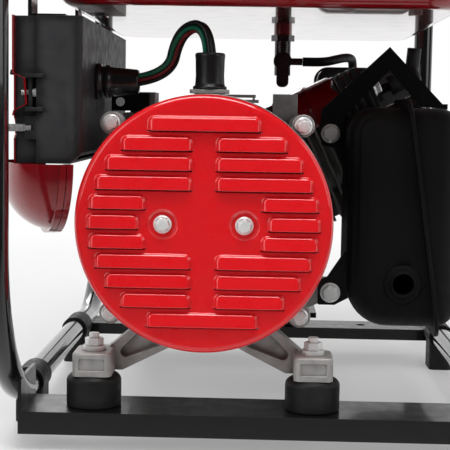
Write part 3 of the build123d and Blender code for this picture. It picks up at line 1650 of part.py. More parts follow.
def make_exhaust():
    """Muffler, pipe and brackets."""
    halves = muffler_halves()
    save("muffler_inner_half", halves[0])
    save("muffler_outer_half", halves[1])
    save("exhaust_pipe", exhaust_pipe())
    save("engine_brackets", *engine_brackets())


# ---------------------------------------------------------------- fuel

def fuel_tank():
    """Two pressed halves welded at a flange, with the filler neck and the outlet."""
    half_x = tank_width / 2
    half_y = tank_length / 2
    lower = block(-half_x, half_x, -half_y, half_y, tank_bottom, tank_seam)
    lower = fillet(lower.edges().filter_by(Axis.Z), 40)
    lower = fillet(lower.faces().sort_by(Axis.Z)[0].edges(), 16)
    upper = block(-half_x, half_x, -half_y, half_y, tank_seam, tank_top)
    upper = fillet(upper.edges().filter_by(Axis.Z), 40)
    upper = fillet(upper.faces().sort_by(Axis.Z)[-1].edges(), 20)
    flange = Pos(0, 0, tank_seam) * Box(
        tank_width + 2 * tank_flange, tank_length + 2 * tank_flange, 2 * tank_sheet
    )
    flange = fillet(flange.edges().filter_by(Axis.Z), 44)
    t = tank_sheet
    hollow = block(-half_x + t, half_x - t, -half_y + t, half_y - t, tank_bottom + t, tank_top - t)
    hollow = fillet(hollow.edges().filter_by(Axis.Z), 38)
    hollow = fillet(hollow.faces().sort_by(Axis.Z)[0].edges(), 15)
    hollow = fillet(hollow.faces().sort_by(Axis.Z)[-1].edges(), 19)
    neck = rod_z(filler_x, filler_y, tank_top - 4, tank_top + 8, cap_dia / 2 - 6)
    outlet = rod_z(valve_x(), valve_y(), tank_bottom - 6, tank_bottom + 3, 9)
    tank = lower + upper + flange + neck + outlet - hollow
    tank = tank - rod_z(filler_x, filler_y, tank_top - 9, tank_top + 9, cap_dia / 2 - 9)
    return tank - rod_z(valve_x(), valve_y(), tank_bottom - 7, tank_bottom + 5, 3)


def valve_x():
    """X of the fuel valve."""
    return 20.0


def valve_y():
    """Y of the fuel valve."""
    return 40.0


def fuel_cap():
    """The round cap with gripping ribs."""
    low = tank_top + 3
    r = cap_dia / 2
    cap = rod_z(filler_x, filler_y, low, low + cap_height, r)
    cap = fillet(cap.faces().sort_by(Axis.Z)[-1].edges(), 4)
    for index in range(16):
        x = filler_x + r * cos(2 * pi * index / 16)
        y = filler_y + r * sin(2 * pi * index / 16)
        cap = cap - rod_z(x, y, low - sink, low + cap_height - 5, 2)
    return cap - rod_z(filler_x, filler_y, low - sink, tank_top + 8 + seat_gap, r - 6 + fit_gap + 0.2)


def fuel_valve():
    """Valve body under the tank with its hose stub."""
    x = valve_x()
    y = valve_y()
    low = tank_bottom - 46
    body = rod_z(x, y, low, tank_bottom - 6, 8) + rod_y(x, low + 14, y - 14, y + 9.5, 9)
    body = body + hexagon_z(x, y, tank_bottom - 12, tank_bottom - 6, 20)
    stub = rod_x(y, low + 14, x, x + 20, 3.5)
    return (body + stub) - rod_y(x, low + 14, y - 15, y - 2, 3.5 + fit_gap)


def fuel_valve_lever():
    """The valve's small turning lever."""
    x = valve_x()
    y = valve_y()
    z = tank_bottom - 32
    pin = rod_y(x, z, y - 19, y - 3, 3.5)
    lever = block(x - 6, x + 6, y - 20, y - 15, z - 26, z + 6)
    return pin + fillet(lever.edges().filter_by(Axis.Y), 5)


def fuel_hose():
    """The hose from the valve to the carburettor, straight runs joined by arcs."""
    x, z = port_centre()
    start = (valve_x() + 20 + seat_gap, valve_y(), tank_bottom - 32)
    end = (x - 8, carb_y0() + 16, z + 26 + seat_gap)
    points = [
        start,
        (start[0] + 22, start[1], start[2]),
        (end[0] - 6, end[1] - 48, start[2] + 8),
        (end[0], end[1], end[2] + 50),
        end,
    ]
    return cord_tube(points, 4.5, "fuel hose")


def cord_tube(points, radius, name):
    """A tube along straight runs joined by tangent arcs as large as the runs allow."""
    corners = [Vector(*p) for p in points]
    runs = [(corners[i + 1] - corners[i]).length for i in range(len(corners) - 1)]
    radii = []
    for i in range(1, len(corners) - 1):
        turn = (corners[i] - corners[i - 1]).get_angle(corners[i + 1] - corners[i])
        shorter = min(runs[i - 1], runs[i])
        radii.append(0.45 * shorter / tan(radians(turn / 2)))
    path = FilletPolyline(*corners, radius=radii)
    section = Plane(origin=path @ 0, z_dir=path % 0) * Circle(radius)
    tube = sweep(section, path=path)
    print(name, "radii", [round(r, 1) for r in radii], "length", round(path.length, 1),
          "volume ratio", round(tube.volume / (pi * radius ** 2 * path.length), 4))
    return tube


def make_fuel():
    """Tank, cap, valve and hose."""
    save("fuel_tank", fuel_tank())
    save("fuel_cap", fuel_cap())
    save("fuel_valve", fuel_valve())
    save("fuel_valve_lever", fuel_valve_lever())
    save("fuel_hose", fuel_hose())


# ---------------------------------------------------------------- wiring

def cable_boot():
    """The tapered rubber boot on the box's inner side."""
    x0 = box_back_x
    big = rod_x(boot_y, boot_z, x0, x0 + 4, boot_dia / 2 + 3)
    middle = rod_x(boot_y, boot_z, x0 + 4, x0 + 9, boot_dia / 2 + 0.5)
    collar = rod_x(boot_y, boot_z, x0 + 9, x0 + 13, boot_dia / 2 + 1.5)
    cone = Pos(x0 + 13 + (boot_length - 13) / 2, boot_y, boot_z) * Rot(0, 90, 0) * Cone(
        boot_dia / 2, boot_dia / 2 - 2.5, boot_length - 13
    )
    bore = rod_x(boot_y, boot_z, x0 - sink, x0 + boot_length + sink, bundle_dia() / 2 + fit_gap)
    return big + middle + collar + cone - bore


def bundle_dia():
    """Diameter of the wire harness."""
    return 12.0


def cable_sleeve():
    """The glossy sleeve that stands on the alternator's outlet."""
    y = sleeve_y()
    low = chimney_top()
    sleeve = rod_z(crank_x, y, low, low + 30, 12)
    sleeve = sleeve + rod_z(crank_x, y, low, low + 3, 14)
    return sleeve - rod_z(crank_x, y, low - sink, low + 31, bundle_dia() / 2 + fit_gap)


def wire_harness():
    """The bundle from the boot over into the alternator's sleeve."""
    y = sleeve_y()
    low = chimney_top()
    points = [
        (box_back_x + 8, boot_y, boot_z),
        (box_back_x + 60, boot_y, boot_z),
        (crank_x - 27, boot_y - 4, low + 50),
        (crank_x, y, low + 54),
        (crank_x, y, low + 12),
    ]
    return cord_tube(points, bundle_dia() / 2, "wire harness")


# ---------------------------------------------------------------- control side

def control_box():
    """The black moulded box behind the panel."""
    y0, y1 = panel_y
    z0, z1 = panel_z
    rim_x = panel_x + panel_sheet
    outer = block(rim_x, box_back_x, y0, y1, z0, z1)
    outer = chamfer(outer.edges().filter_by(Axis.Y).sort_by(Axis.X)[-2:].sort_by(Axis.Z)[0], 9)
    outer = fillet(outer.edges().filter_by(Axis.Z).sort_by(Axis.X)[-2:], 5)
    step = block(rim_x - sink, box_step_x, y0 - sink, y0 + box_step_depth, z0 - sink, z1 + sink)
    hollow = block(
        rim_x - sink, box_back_x - box_wall, y0 + box_step_depth + box_wall, y1 - box_wall,
        z0 + box_wall, z1 - box_wall,
    )
    box = (outer - step) - hollow
    box = box - rod_x(boot_y, boot_z, box_back_x - 20, box_back_x + sink, bundle_dia() / 2 + 1)
    for z in (lug_z() - 13, lug_z() + 13):
        fin = block(-183, -169, y0 - 3, y0 + box_step_depth + 1, z - 1.5, z + 1.5)
        box = box + fin
    lug = block(-181, -178, y0, y0 + box_step_depth + 1, lug_z() - 12, lug_z() + 12)
    box = box + lug
    stud_block = block(-184, box_step_x + 1, y0 + 0.5, y0 + box_step_depth + 1, stud_z() - 9, stud_z() + 9)
    box = box + stud_block
    box = box - rod_x(stud_y(), stud_z(), -190, box_step_x - 3, stud_root_dia / 2 + fit_gap)
    return box - rod_x(stud_y(), lug_z(), -190, -170, 2 + fit_gap)


def lug_z():
    """Height of the panel screw's lug."""
    return 280.5


def stud_z():
    """Height of the ground stud."""
    return 253.0


def stud_y():
    """Y of the ground stud and the panel screw."""
    return panel_y[0] + 3.5


def panel_edge():
    """The joggled edge strip that the screw holds."""
    y0 = panel_y[0]
    t = panel_sheet
    x = panel_x
    middle = lug_z()
    outside = [
        (x, panel_z[1]), (x, middle + 15), (x + 9, middle + 11), (x + 10.5, middle - 9),
        (x + 1, middle - 14), (x, middle - 18),
    ]
    inside = [(px + t, pz) for px, pz in reversed(outside)]
    strip = facing_y(make_face(Polyline(*(outside + inside), close=True)), y0, y0 + 7)
    return strip - rod_x(stud_y(), lug_z(), -190, -170, 2 + fit_gap)


def control_panel():
    """The red sheet panel with cut-outs for its fittings."""
    y0, y1 = panel_y
    z0, z1 = panel_z
    panel = block(panel_x, panel_x + panel_sheet, y0 + 7, y1, z0, z1)
    panel = panel - rod_x(stud_y(), stud_z(), panel_x - sink, panel_x + 5, stud_notch_dia / 2)
    panel = panel + panel_edge()
    for y, z in socket_places():
        panel = panel - rod_x(y, z, panel_x - sink, panel_x + 5, socket_dia() / 2 + bolt_clearance)
    y, z = switch_place()
    panel = panel - block(panel_x - sink, panel_x + 5, y - 11, y + 11, z - 15, z + 15)
    y, z = breaker_place()
    panel = panel - block(panel_x - sink, panel_x + 5, y - 9, y + 9, z - 16, z + 16)
    y, z = meter_place()
    panel = panel - block(panel_x - sink, panel_x + 5, y - 22, y + 22, z - 12, z + 12)
    y, z = reset_place()
    return panel - rod_x(y, z, panel_x - sink, panel_x + 5, 7.5)


def socket_dia():
    """Diameter of a receptacle's round face."""
    return 38.0


def socket_places():
    """Y and Z of the receptacles."""
    return [(-30, 262), (-30, 308), (25, 285)]


def switch_place():
    """Y and Z of the engine switch."""
    return (-205, 305)


def breaker_place():
    """Y and Z of the main breaker."""
    return (-160, 300)


def meter_place():
    """Y and Z of the meter."""
    return (-105, 310)


def reset_place():
    """Y and Z of the reset button."""
    return (-105, 262)


def receptacles():
    """Three round sockets with plain contact slots."""
    pieces = []
    for y, z in socket_places():
        body = rod_x(y, z, panel_x - 4, panel_x + 22, socket_dia() / 2)
        body = body + rod_x(y, z, panel_x - 2, panel_x, socket_dia() / 2 + 4)
        for dy in (-7, 7):
            body = body - block(panel_x - 5, panel_x + 14, y + dy - 1.2, y + dy + 1.2, z - 1, z + 8)
        body = body - rod_x(y, z - 9, panel_x - 5, panel_x + 14, 2.6)
        pieces.append(body)
    return pieces


def engine_switch():
    """The rocker of the engine switch, tipped to off."""
    y, z = switch_place()
    rocker = block(panel_x - 6, panel_x + 6, y - 7.5, y + 7.5, z - 11, z + 11)
    rocker = rocker - block(panel_x - 9, panel_x - 4, y - 9, y + 9, z - 7, z + 7)
    pivot = Pos(panel_x, y, z)
    return pivot * Rot(0, 8, 0) * Pos(-panel_x, -y, -z) * fillet(rocker.edges().filter_by(Axis.X), 1)


def breaker_toggle():
    """The breaker's toggle, down at rest."""
    y, z = breaker_place()
    toggle = block(panel_x - 12, panel_x + 4, y - 5, y + 5, z - 3.5, z + 3.5)
    toggle = fillet(toggle.edges().filter_by(Axis.X), 1.5) + rod_y(panel_x + 4, z, y - 5, y + 5, 5)
    return Pos(panel_x + 4, 0, z) * Rot(0, -20, 0) * Pos(-panel_x - 4, 0, -z) * toggle


def reset_button():
    """The reset button of the small breaker."""
    y, z = reset_place()
    button = rod_x(y, z, panel_x - 6, panel_x + 8, 4.5)
    return fillet(button.faces().sort_by(Axis.X)[0].edges(), 1)


def panel_hardware():
    """Frames of the switch, breaker, meter and buttons, the ground stud and the screws."""
    pieces = []
    for place, half_y, half_z, hole_y, hole_z, depth in (
        (switch_place(), 11, 15, 8, 13.0, 14),
        (breaker_place(), 9, 16, 5.5, 12.0, 20),
    ):
        y, z = place
        body = block(panel_x - 2, panel_x, y - half_y - 2, y + half_y + 2, z - half_z - 2, z + half_z + 2)
        body = body + block(panel_x, panel_x + depth, y - half_y + seat_gap, y + half_y - seat_gap,
                            z - half_z + seat_gap, z + half_z - seat_gap)
        body = body - block(
            panel_x - 3, panel_x + depth - 3, y - hole_y, y + hole_y, z - hole_z, z + hole_z
        )
        pieces.append(body)
    y, z = meter_place()
    meter = block(panel_x - 3, panel_x, y - 25, y + 25, z - 15, z + 15)
    meter = meter + block(panel_x, panel_x + 20, y - 21, y + 21, z - 11, z + 11)
    meter = meter - block(panel_x - 4, panel_x - 2, y - 21, y + 21, z - 10, z + 10)
    pieces.append(meter)
    y, z = reset_place()
    collar = rod_x(y, z, panel_x - 2, panel_x, 9.5) + rod_x(y, z, panel_x, panel_x + 16, 7.2)
    pieces.append(collar - rod_x(y, z, panel_x - 3, panel_x + 13, 4.5 + fit_gap))
    shank = rod_x(stud_y(), stud_z(), panel_x + 10, box_step_x - 4, stud_root_dia / 2)
    stud = shank + rod_x(stud_y(), stud_z(), panel_x - 10, panel_x + 10, ground_stud_dia / 2)
    pieces.append(stud)
    screw = rod_x(stud_y(), lug_z(), -187, -178, 2) + rod_x(stud_y(), lug_z(), -178, -175, 3.4)
    pieces.append(screw)
    return pieces


def panel_cowl():
    """The red pressed bowl under the box: a domed front and a back ring, joined at their rims."""
    centre = (-175.0, -205.0, 228.0)
    radius = 57.0
    facing = Plane(origin=centre, z_dir=(-0.93, -0.37, 0))
    front = revolve(Plane.XZ * dome_section(radius, 30.0), axis=Axis.Z)
    back = rod_z(0, 0, -10.6, -5.6, radius + 3) - rod_z(0, 0, -12, -5, radius - 10)
    back = back + (rod_z(0, 0, -5.6, -5, radius) - rod_z(0, 0, -6, -4, radius - 9))
    keep = block(-400, 200, -400, 200, 0, panel_z[0])
    return [(facing.location * front) & keep, (facing.location * back) & keep]


def dome_section(radius, depth):
    """Half section of the shallow dome with the skirt around its rim."""
    t = panel_sheet
    outer = ThreePointArc((radius, 0), (radius * 0.78, depth * 0.72), (0, depth))
    inner = ThreePointArc((radius - t, 0), ((radius - t) * 0.78, (depth - t) * 0.72), (0, depth - t))
    skirt = Polyline((radius, 0), (radius + 3, 0), (radius + 3, -5), (radius - t, -5), (radius - t, 0))
    return make_face(outer + skirt + inner + Line((0, depth - t), (0, depth)))


def inverter_module():
    """The finned inverter block inside the box."""
    y0 = -70.0
    y1 = 50.0
    x1 = box_back_x - box_wall - seat_gap
    module = block(x1 - 9, x1, y0, y1, panel_z[0] + box_wall, panel_z[1] - 8)
    for index in range(9):
        z = panel_z[0] + box_wall + 4 + 12 * index
        module = module + block(x1 - 22, x1 - 9, y0, y1, z, z + 2.4)
    return module


def flange_bolts():
    """The short flange bolts: cover, muffler brackets, engine adapter, crankcase cover and head."""
    bolts = []
    for side in (-1, 1):
        x = crank_x + side * bolt_spacing / 2
        bolts.append(flange_bolt(x, crank_z, cover_front + dish_depth, cover_front + dish_depth + 20))
    for place, seat in (
        (muffler_low_bolt(), muffler_low_seat()), (muffler_high_bolt(), muffler_high_seat()),
    ):
        bolts.append(flange_bolt(place[0], place[1], seat - plate, seat + 18, 8, 17.9, 13, 9))
    for angle in (0, 90, 180, 270):
        x, z = at_crank(60, angle)
        seat = bracket_front + bracket_depth - 8
        bolts.append(flange_bolt(x, z, seat, case_front - 4, 8, 17, 12, 6))
    for x, z in cover_bolt_points():
        bolts.append(flange_bolt(x, z, case_cover_front, case_front - seat_gap))
    for y, across in head_bolt_points():
        top = deck + head_height
        head = rod_z(y, across, top, top + 1.6, 8) + Pos(y, across, top + 1.6) * extrude(
            RegularPolygon(6, 6, major_radius=False), 6
        )
        bolts.append(on_cylinder(head + rod_z(y, across, deck + seat_gap, top, 4)))
    return bolts


def make_control():
    """Panel, box, fittings, wiring and bolts."""
    save("control_panel", control_panel())
    save("control_box", control_box())
    save("panel_cowl", *panel_cowl())
    save("receptacles", *receptacles())
    save("engine_switch", engine_switch())
    save("breaker_toggle", breaker_toggle())
    save("reset_button", reset_button())
    save("panel_hardware", *panel_hardware())
    save("inverter_module", inverter_module())
    save("cable_boot", cable_boot())
    save("cable_sleeve", cable_sleeve())
    save("wire_harness", wire_harness())
    save("flange_bolts", *flange_bolts())


os.makedirs("parts", exist_ok=True)
make_frame()
make_alternator()
make_engine_inside()
make_flywheel_end()
make_intake()
make_exhaust()
make_fuel()
make_control()
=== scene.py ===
import math

import bmesh
import bpy
from mathutils import Matrix, Vector


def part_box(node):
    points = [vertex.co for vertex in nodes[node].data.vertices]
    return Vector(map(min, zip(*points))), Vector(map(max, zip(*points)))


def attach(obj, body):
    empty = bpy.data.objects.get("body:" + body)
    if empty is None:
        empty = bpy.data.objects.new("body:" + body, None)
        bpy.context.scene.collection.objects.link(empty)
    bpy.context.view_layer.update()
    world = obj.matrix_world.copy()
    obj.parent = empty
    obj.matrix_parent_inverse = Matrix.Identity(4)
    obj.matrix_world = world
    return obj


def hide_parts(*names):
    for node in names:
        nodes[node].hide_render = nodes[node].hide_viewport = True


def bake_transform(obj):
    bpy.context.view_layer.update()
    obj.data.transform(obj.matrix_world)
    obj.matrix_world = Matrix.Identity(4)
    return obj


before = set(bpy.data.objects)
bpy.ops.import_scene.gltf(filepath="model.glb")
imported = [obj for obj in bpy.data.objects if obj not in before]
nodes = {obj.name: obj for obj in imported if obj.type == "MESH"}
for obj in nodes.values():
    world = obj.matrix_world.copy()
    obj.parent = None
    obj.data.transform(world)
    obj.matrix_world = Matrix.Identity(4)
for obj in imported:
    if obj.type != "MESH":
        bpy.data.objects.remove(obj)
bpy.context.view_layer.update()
scene = bpy.context.scene

# ---- The stand: a pale floor, an open white surround, soft lamps and the camera.
# The generator stands on its rubber feet and is seen square on to its alternator end. In
# front of it, floor and surround are dark to reflections only, as behind a black screen.
floor_half = 8.0
floor_grey = 0.90
glow_near, glow_far = 0.35, 1.5
glow_share = 0.30
screen_front, screen_back = -0.60, -0.15
screen_dark = -0.97
floor_mesh = bpy.data.meshes.new("floor")
floor_mesh.from_pydata([(-floor_half, -floor_half, 0), (floor_half, -floor_half, 0),
                        (floor_half, floor_half, 0), (-floor_half, floor_half, 0)], [], [(0, 1, 2, 3)])
floor = bpy.data.objects.new("floor", floor_mesh)
scene.collection.objects.link(floor)


def feed(tree, socket, value):
    """Gives a socket a plain value, or a link from another socket."""
    if isinstance(value, bpy.types.NodeSocket):
        tree.links.new(value, socket)
    else:
        socket.default_value = value


def made(tree, kind, values):
    """A node of one kind, with its named inputs set or linked."""
    node = tree.nodes.new(kind)
    for name, value in values.items():
        feed(tree, node.inputs[name], value)
    return node


def sum_of(tree, operation, *values):
    """One arithmetic node. Each value is a socket or a number."""
    node = tree.nodes.new("ShaderNodeMath")
    node.operation = operation
    for socket, value in zip(node.inputs, values):
        feed(tree, socket, value)
    return node.outputs[0]


def spread(tree, value, low, high, start=0.3, end=0.7):
    """A value spread between two limits."""
    limits = {"From Min": start, "From Max": end, "To Min": low, "To Max": high, "Value": value}
    return made(tree, "ShaderNodeMapRange", limits).outputs["Result"]


def axes_of(tree, place):
    """The X, Y and Z of a place or direction."""
    node = tree.nodes.new("ShaderNodeSeparateXYZ")
    tree.links.new(place, node.inputs[0])
    return node.outputs


def mixed(tree, share, first, second):
    """Two shaders mixed by a share."""
    node = tree.nodes.new("ShaderNodeMixShader")
    for socket, value in zip(node.inputs, (share, first, second)):
        tree.links.new(value, socket)
    return node.outputs[0]


def in_place(tree):
    """The socket that gives a point's place on the generator."""
    found = [n for n in tree.nodes if n.bl_idname == "ShaderNodeTexCoord"]
    if not found:
        found = [tree.nodes.new("ShaderNodeTexCoord")]
    return found[0].outputs["Object"]


floor_paint = bpy.data.materials.new("pale_floor")
floor_paint.use_nodes = True
tree = floor_paint.node_tree
tree.nodes.clear()
away = tree.nodes.new("ShaderNodeVectorMath")
away.operation = "LENGTH"
tree.links.new(in_place(tree), away.inputs[0])
ray = tree.nodes.new("ShaderNodeLightPath").outputs
fade = spread(tree, axes_of(tree, in_place(tree))["Y"], screen_dark, 0.0, screen_front, screen_back)
level = sum_of(tree, "MULTIPLY_ADD", ray["Is Glossy Ray"], fade, 1.0)
grey = sum_of(tree, "MULTIPLY", level, floor_grey)
floor_skin = made(tree, "ShaderNodeBsdfPrincipled", {"Base Color": grey, "Roughness": 0.55})
floor_glow = made(tree, "ShaderNodeEmission", {"Color": (1, 1, 1, 1), "Strength": level})
seen = sum_of(tree, "MAXIMUM", ray["Is Camera Ray"], ray["Is Glossy Ray"])
glow = spread(tree, away.outputs["Value"], glow_share, 1.0, glow_near, glow_far)
floor_mix = mixed(tree, sum_of(tree, "MULTIPLY", seen, glow), floor_skin.outputs[0], floor_glow.outputs[0])
made(tree, "ShaderNodeOutputMaterial", {"Surface": floor_mix})
floor_mesh.materials.append(floor_paint)

world = bpy.data.worlds.new("studio")
scene.world = world
world.use_nodes = True
tree = world.node_tree
tree.nodes.clear()


def sky(grey, strength):
    """An even surround of one grey."""
    values = {"Color": (grey, grey, grey, 1), "Strength": strength}
    return made(world.node_tree, "ShaderNodeBackground", values).outputs[0]


sky_way = tree.nodes.new("ShaderNodeTexCoord").outputs["Generated"]
ray = tree.nodes.new("ShaderNodeLightPath").outputs
mirrored = sky(0.8, spread(tree, axes_of(tree, sky_way)["Y"], 0.03, 1.0, 0.05, 0.45))
lighting = mixed(tree, ray["Is Glossy Ray"], sky(1, 0.36), mirrored)
seen = sum_of(tree, "MAXIMUM", ray["Is Camera Ray"], ray["Is Transmission Ray"])
made(tree, "ShaderNodeOutputWorld", {"Surface": mixed(tree, seen, lighting, sky(1, 1.0))})


def soft_lamp(name, place, aim, size, watts, height=None):
    """A soft lamp that faces the point it is aimed at, square unless a height is given."""
    data = bpy.data.lights.new(name, "AREA")
    data.size = size
    if height:
        data.shape = "RECTANGLE"
        data.size_y = height
    data.energy = watts
    lamp = bpy.data.objects.new(name, data)
    scene.collection.objects.link(lamp)
    lamp.location = place
    lamp.rotation_euler = (Vector(aim) - Vector(place)).to_track_quat("-Z", "Y").to_euler()


lamp_aim = (0, 0, 0.2)
soft_lamp("lamp_overhead", (-0.1, -0.72, 1.6), (0, -0.15, 0.2), size=1.3, watts=16, height=0.4)
soft_lamp("lamp_front_left", (-1.7, -1.6, 1.0), lamp_aim, size=1.6, watts=13, height=1.6)
soft_lamp("lamp_right", (2.0, -0.9, 1.0), lamp_aim, size=1.2, watts=8, height=1.4)
soft_lamp("lamp_behind", (-0.6, 2.3, 1.5), lamp_aim, size=1.2, watts=14)

camera_place = Vector((0.0, -1.156, 0.265))
yaw = math.radians(1.6747)
pitch = math.radians(5.29461)
roll = math.radians(0.95)
camera_data = bpy.data.cameras.new("camera")
camera_data.sensor_width = 36.0
camera_data.lens = 94.4
camera_data.clip_start = 0.02
camera = bpy.data.objects.new("camera", camera_data)
scene.collection.objects.link(camera)
camera.matrix_world = (
    Matrix.Translation(camera_place)
    @ Matrix.Rotation(yaw, 4, "Z")
    @ Matrix.Rotation(math.radians(90) - pitch, 4, "X")
    @ Matrix.Rotation(roll, 4, "Z")
)
scene.camera = camera
scene.view_settings.view_transform = "Standard"

# ---- Frame: two bent side hoops of round steel tube, top bars and pressed cross members.
# The tube is welded, then powder coated in gloss black, and the coat is slightly wavy. The
# cross members and the engine's brackets are satin black sheet.


def new_finish(name, roughness, metallic=0.0, coat=0.0, coat_rough=0.05, specular=0.5):
    """An empty finish: its node tree and its shader, with the plain values set."""
    material = bpy.data.materials.new(name)
    material.use_nodes = True
    tree = material.node_tree
    shader = tree.nodes["Principled BSDF"]
    for label, value in (("Roughness", roughness), ("Metallic", metallic), ("Coat Weight", coat),
                         ("Coat Roughness", coat_rough), ("Specular IOR Level", specular)):
        shader.inputs[label].default_value = value
    return material, tree, shader


def noise(tree, scale, detail=4.0):
    """Cloudy noise at so many waves a metre."""
    values = {"Scale": scale, "Detail": detail, "Vector": in_place(tree)}
    return made(tree, "ShaderNodeTexNoise", values).outputs["Fac"]


def two_tone(tree, share, first, second):
    """A colour between two, by share. Each is a colour or a socket."""
    node = tree.nodes.new("ShaderNodeMix")
    node.data_type = "RGBA"
    tree.links.new(share, node.inputs["Factor"])
    for socket, colour in ((node.inputs[6], first), (node.inputs[7], second)):
        feed(tree, socket, (*colour, 1) if isinstance(colour, tuple) else colour)
    return node.outputs[2]


def shade_in_corners(tree, reach):
    """How open a point is: 1 in the open, less in a corner, where it paints shade into the colour."""
    node = made(tree, "ShaderNodeAmbientOcclusion", {"Distance": reach})
    node.samples = 4
    return node.outputs["AO"]


def rounded_normal(tree, radius):
    """The way the surface faces, with its edges rounded by a radius."""
    node = made(tree, "ShaderNodeBevel", {"Radius": radius})
    node.samples = 4
    return node.outputs["Normal"]


def edge_mask(tree, radius, low=0.02, high=0.25):
    """1 on sharp edges, 0 on flat faces, from how far a rounded normal leans."""
    flat = tree.nodes.new("ShaderNodeNewGeometry")
    lean = tree.nodes.new("ShaderNodeVectorMath")
    lean.operation = "DISTANCE"
    tree.links.new(rounded_normal(tree, radius), lean.inputs[0])
    tree.links.new(flat.outputs["Normal"], lean.inputs[1])
    return spread(tree, lean.outputs["Value"], 0.0, 1.0, low, high)


def coated(tree, shader, colour, roughness):
    """Joins a colour and a roughness to a finish."""
    tree.links.new(colour, shader.inputs["Base Color"])
    tree.links.new(roughness, shader.inputs["Roughness"])


def skin(tree, shader, height, depth, strength=0.5, rounding=0.0):
    """A fine relief, over edges that are rounded by a small radius."""
    bump = made(tree, "ShaderNodeBump", {"Strength": strength, "Distance": depth, "Height": height})
    if rounding:
        tree.links.new(rounded_normal(tree, rounding), bump.inputs["Normal"])
    tree.links.new(bump.outputs["Normal"], shader.inputs["Normal"])


def dress(finish, *names):
    """Gives CAD nodes or finished pieces one finish."""
    for name in names:
        mesh = nodes[name].data if name in nodes else bpy.data.objects[name].data
        mesh.materials.clear()
        mesh.materials.append(finish)


gloss_black, tree, shader = new_finish("gloss_black_powder", 0.16, coat=1.0, coat_rough=0.04, specular=0.4)
cloud = noise(tree, 14.0)
coated(tree, shader, two_tone(tree, cloud, (0.003, 0.003, 0.003), (0.007, 0.007, 0.008)),
       spread(tree, noise(tree, 60.0), 0.12, 0.24))
skin(tree, shader, noise(tree, 420.0, 2.0), 0.00012, 0.25)
dress(gloss_black, "frame_side_left", "frame_side_right", "frame_top_bars")

satin_black, tree, shader = new_finish("satin_black_sheet", 0.32, coat=0.35, coat_rough=0.08, specular=0.25)
coated(tree, shader, two_tone(tree, noise(tree, 20.0), (0.003, 0.003, 0.003), (0.007, 0.007, 0.0075)),
       spread(tree, noise(tree, 90.0), 0.28, 0.42))
skin(tree, shader, noise(tree, 600.0, 2.0), 0.0001, 0.3, 0.0006)
dress(satin_black, "cross_members", "engine_brackets")

# ---- Feet and mounts: moulded rubber round the lower rails and under the engine.
# The rubber is bonded to steel plates, and zinc plated studs with flange nuts hold it.
rubber, tree, shader = new_finish("moulded_rubber", 0.55, specular=0.35)
dust = spread(tree, noise(tree, 35.0, 6.0), 0.0, 1.0, 0.45, 0.75)
coated(tree, shader, two_tone(tree, dust, (0.008, 0.008, 0.008), (0.022, 0.021, 0.02)),
       spread(tree, noise(tree, 180.0), 0.42, 0.68))
skin(tree, shader, noise(tree, 1500.0, 3.0), 0.00008, 0.4, 0.0008)
dress(rubber, "rubber_feet", "vibration_mounts", "starter_handle", "fuel_hose")

zinc, tree, shader = new_finish("zinc_plate", 0.22, metallic=0.30)
bright = two_tone(tree, noise(tree, 90.0, 3.0), (0.92, 0.92, 0.91), (0.78, 0.78, 0.77))
# Painted shade: the plating is painted dark near the hexagon's walls and in corners.
shade = spread(tree, shade_in_corners(tree, 0.0030), 0.0, 1.0, 0.25, 0.75)
coated(tree, shader, two_tone(tree, shade, (0.03, 0.03, 0.03), bright),
       spread(tree, noise(tree, 500.0), 0.18, 0.28))
skin(tree, shader, noise(tree, 700.0, 2.0), 0.00002, 0.1, 0.0003)
dress(zinc, "mount_hardware", "governor_arm")

# ---- Alternator castings: the end bracket with its splayed legs, and the front bracket.
# Both are die cast in aluminium and blasted, as are the crankcase, the carburettor and the
# inverter's case. Corners are painted darker, as shade, and edges painted lighter, as highlights.
cast, tree, shader = new_finish("cast_aluminium", 0.48, metallic=0.45, specular=0.4)
mottle = spread(tree, noise(tree, 120.0, 8.0), 0.0, 1.0, 0.3, 0.7)
body = two_tone(tree, mottle, (0.36, 0.35, 0.34), (0.50, 0.49, 0.475))
# Painted shade darkens the corners, and a painted highlight lightens the edges.
shade = spread(tree, shade_in_corners(tree, 0.006), 0.0, 1.0, 0.35, 0.85)
body = two_tone(tree, shade, (0.12, 0.115, 0.11), body)
body = two_tone(tree, edge_mask(tree, 0.0006), body, (0.66, 0.65, 0.64))
coated(tree, shader, body, spread(tree, noise(tree, 900.0), 0.38, 0.58))
skin(tree, shader, noise(tree, 2600.0, 4.0), 0.00012, 0.5, 0.0008)
dress(cast, "end_bracket", "front_bracket", "crankcase", "crankcase_cover", "carburettor",
      "inverter_module")

# ---- Stator and rotor: stacked steel sheets, varnished copper coils and glued magnets.
# The sheets are half a millimetre thick, pressed together and skimmed to size. The turned
# parts of the engine are machined steel.


def waves(tree, scale, distortion=0.0, kind="BANDS", way="Y"):
    """Even waves across one axis, in flat bands or in rings round it."""
    values = {"Scale": scale, "Distortion": distortion, "Vector": in_place(tree)}
    node = made(tree, "ShaderNodeTexWave", values)
    node.wave_type = kind
    node.bands_direction = way
    node.rings_direction = way
    return node.outputs["Fac"]


sheets, tree, shader = new_finish("steel_sheets", 0.4, metallic=0.9)
bands = waves(tree, 320.0, 0.2)
steel = two_tone(tree, bands, (0.16, 0.16, 0.17), (0.36, 0.36, 0.37))
rust = spread(tree, noise(tree, 50.0, 6.0), 0.0, 0.5, 0.55, 0.75)
coated(tree, shader, two_tone(tree, rust, steel, (0.20, 0.15, 0.11)),
       spread(tree, noise(tree, 300.0), 0.3, 0.55))
skin(tree, shader, bands, 0.0001, 0.6)
dress(sheets, "stator_core", "rotor")

copper, tree, shader = new_finish("varnished_copper", 0.3, metallic=0.7, coat=0.6, coat_rough=0.15)
wires = waves(tree, 160.0, 1.5, "RINGS")
coated(tree, shader, two_tone(tree, wires, (0.22, 0.07, 0.03), (0.62, 0.26, 0.12)),
       spread(tree, noise(tree, 200.0), 0.25, 0.45))
skin(tree, shader, wires, 0.0006, 0.7)
dress(copper, "stator_coils")

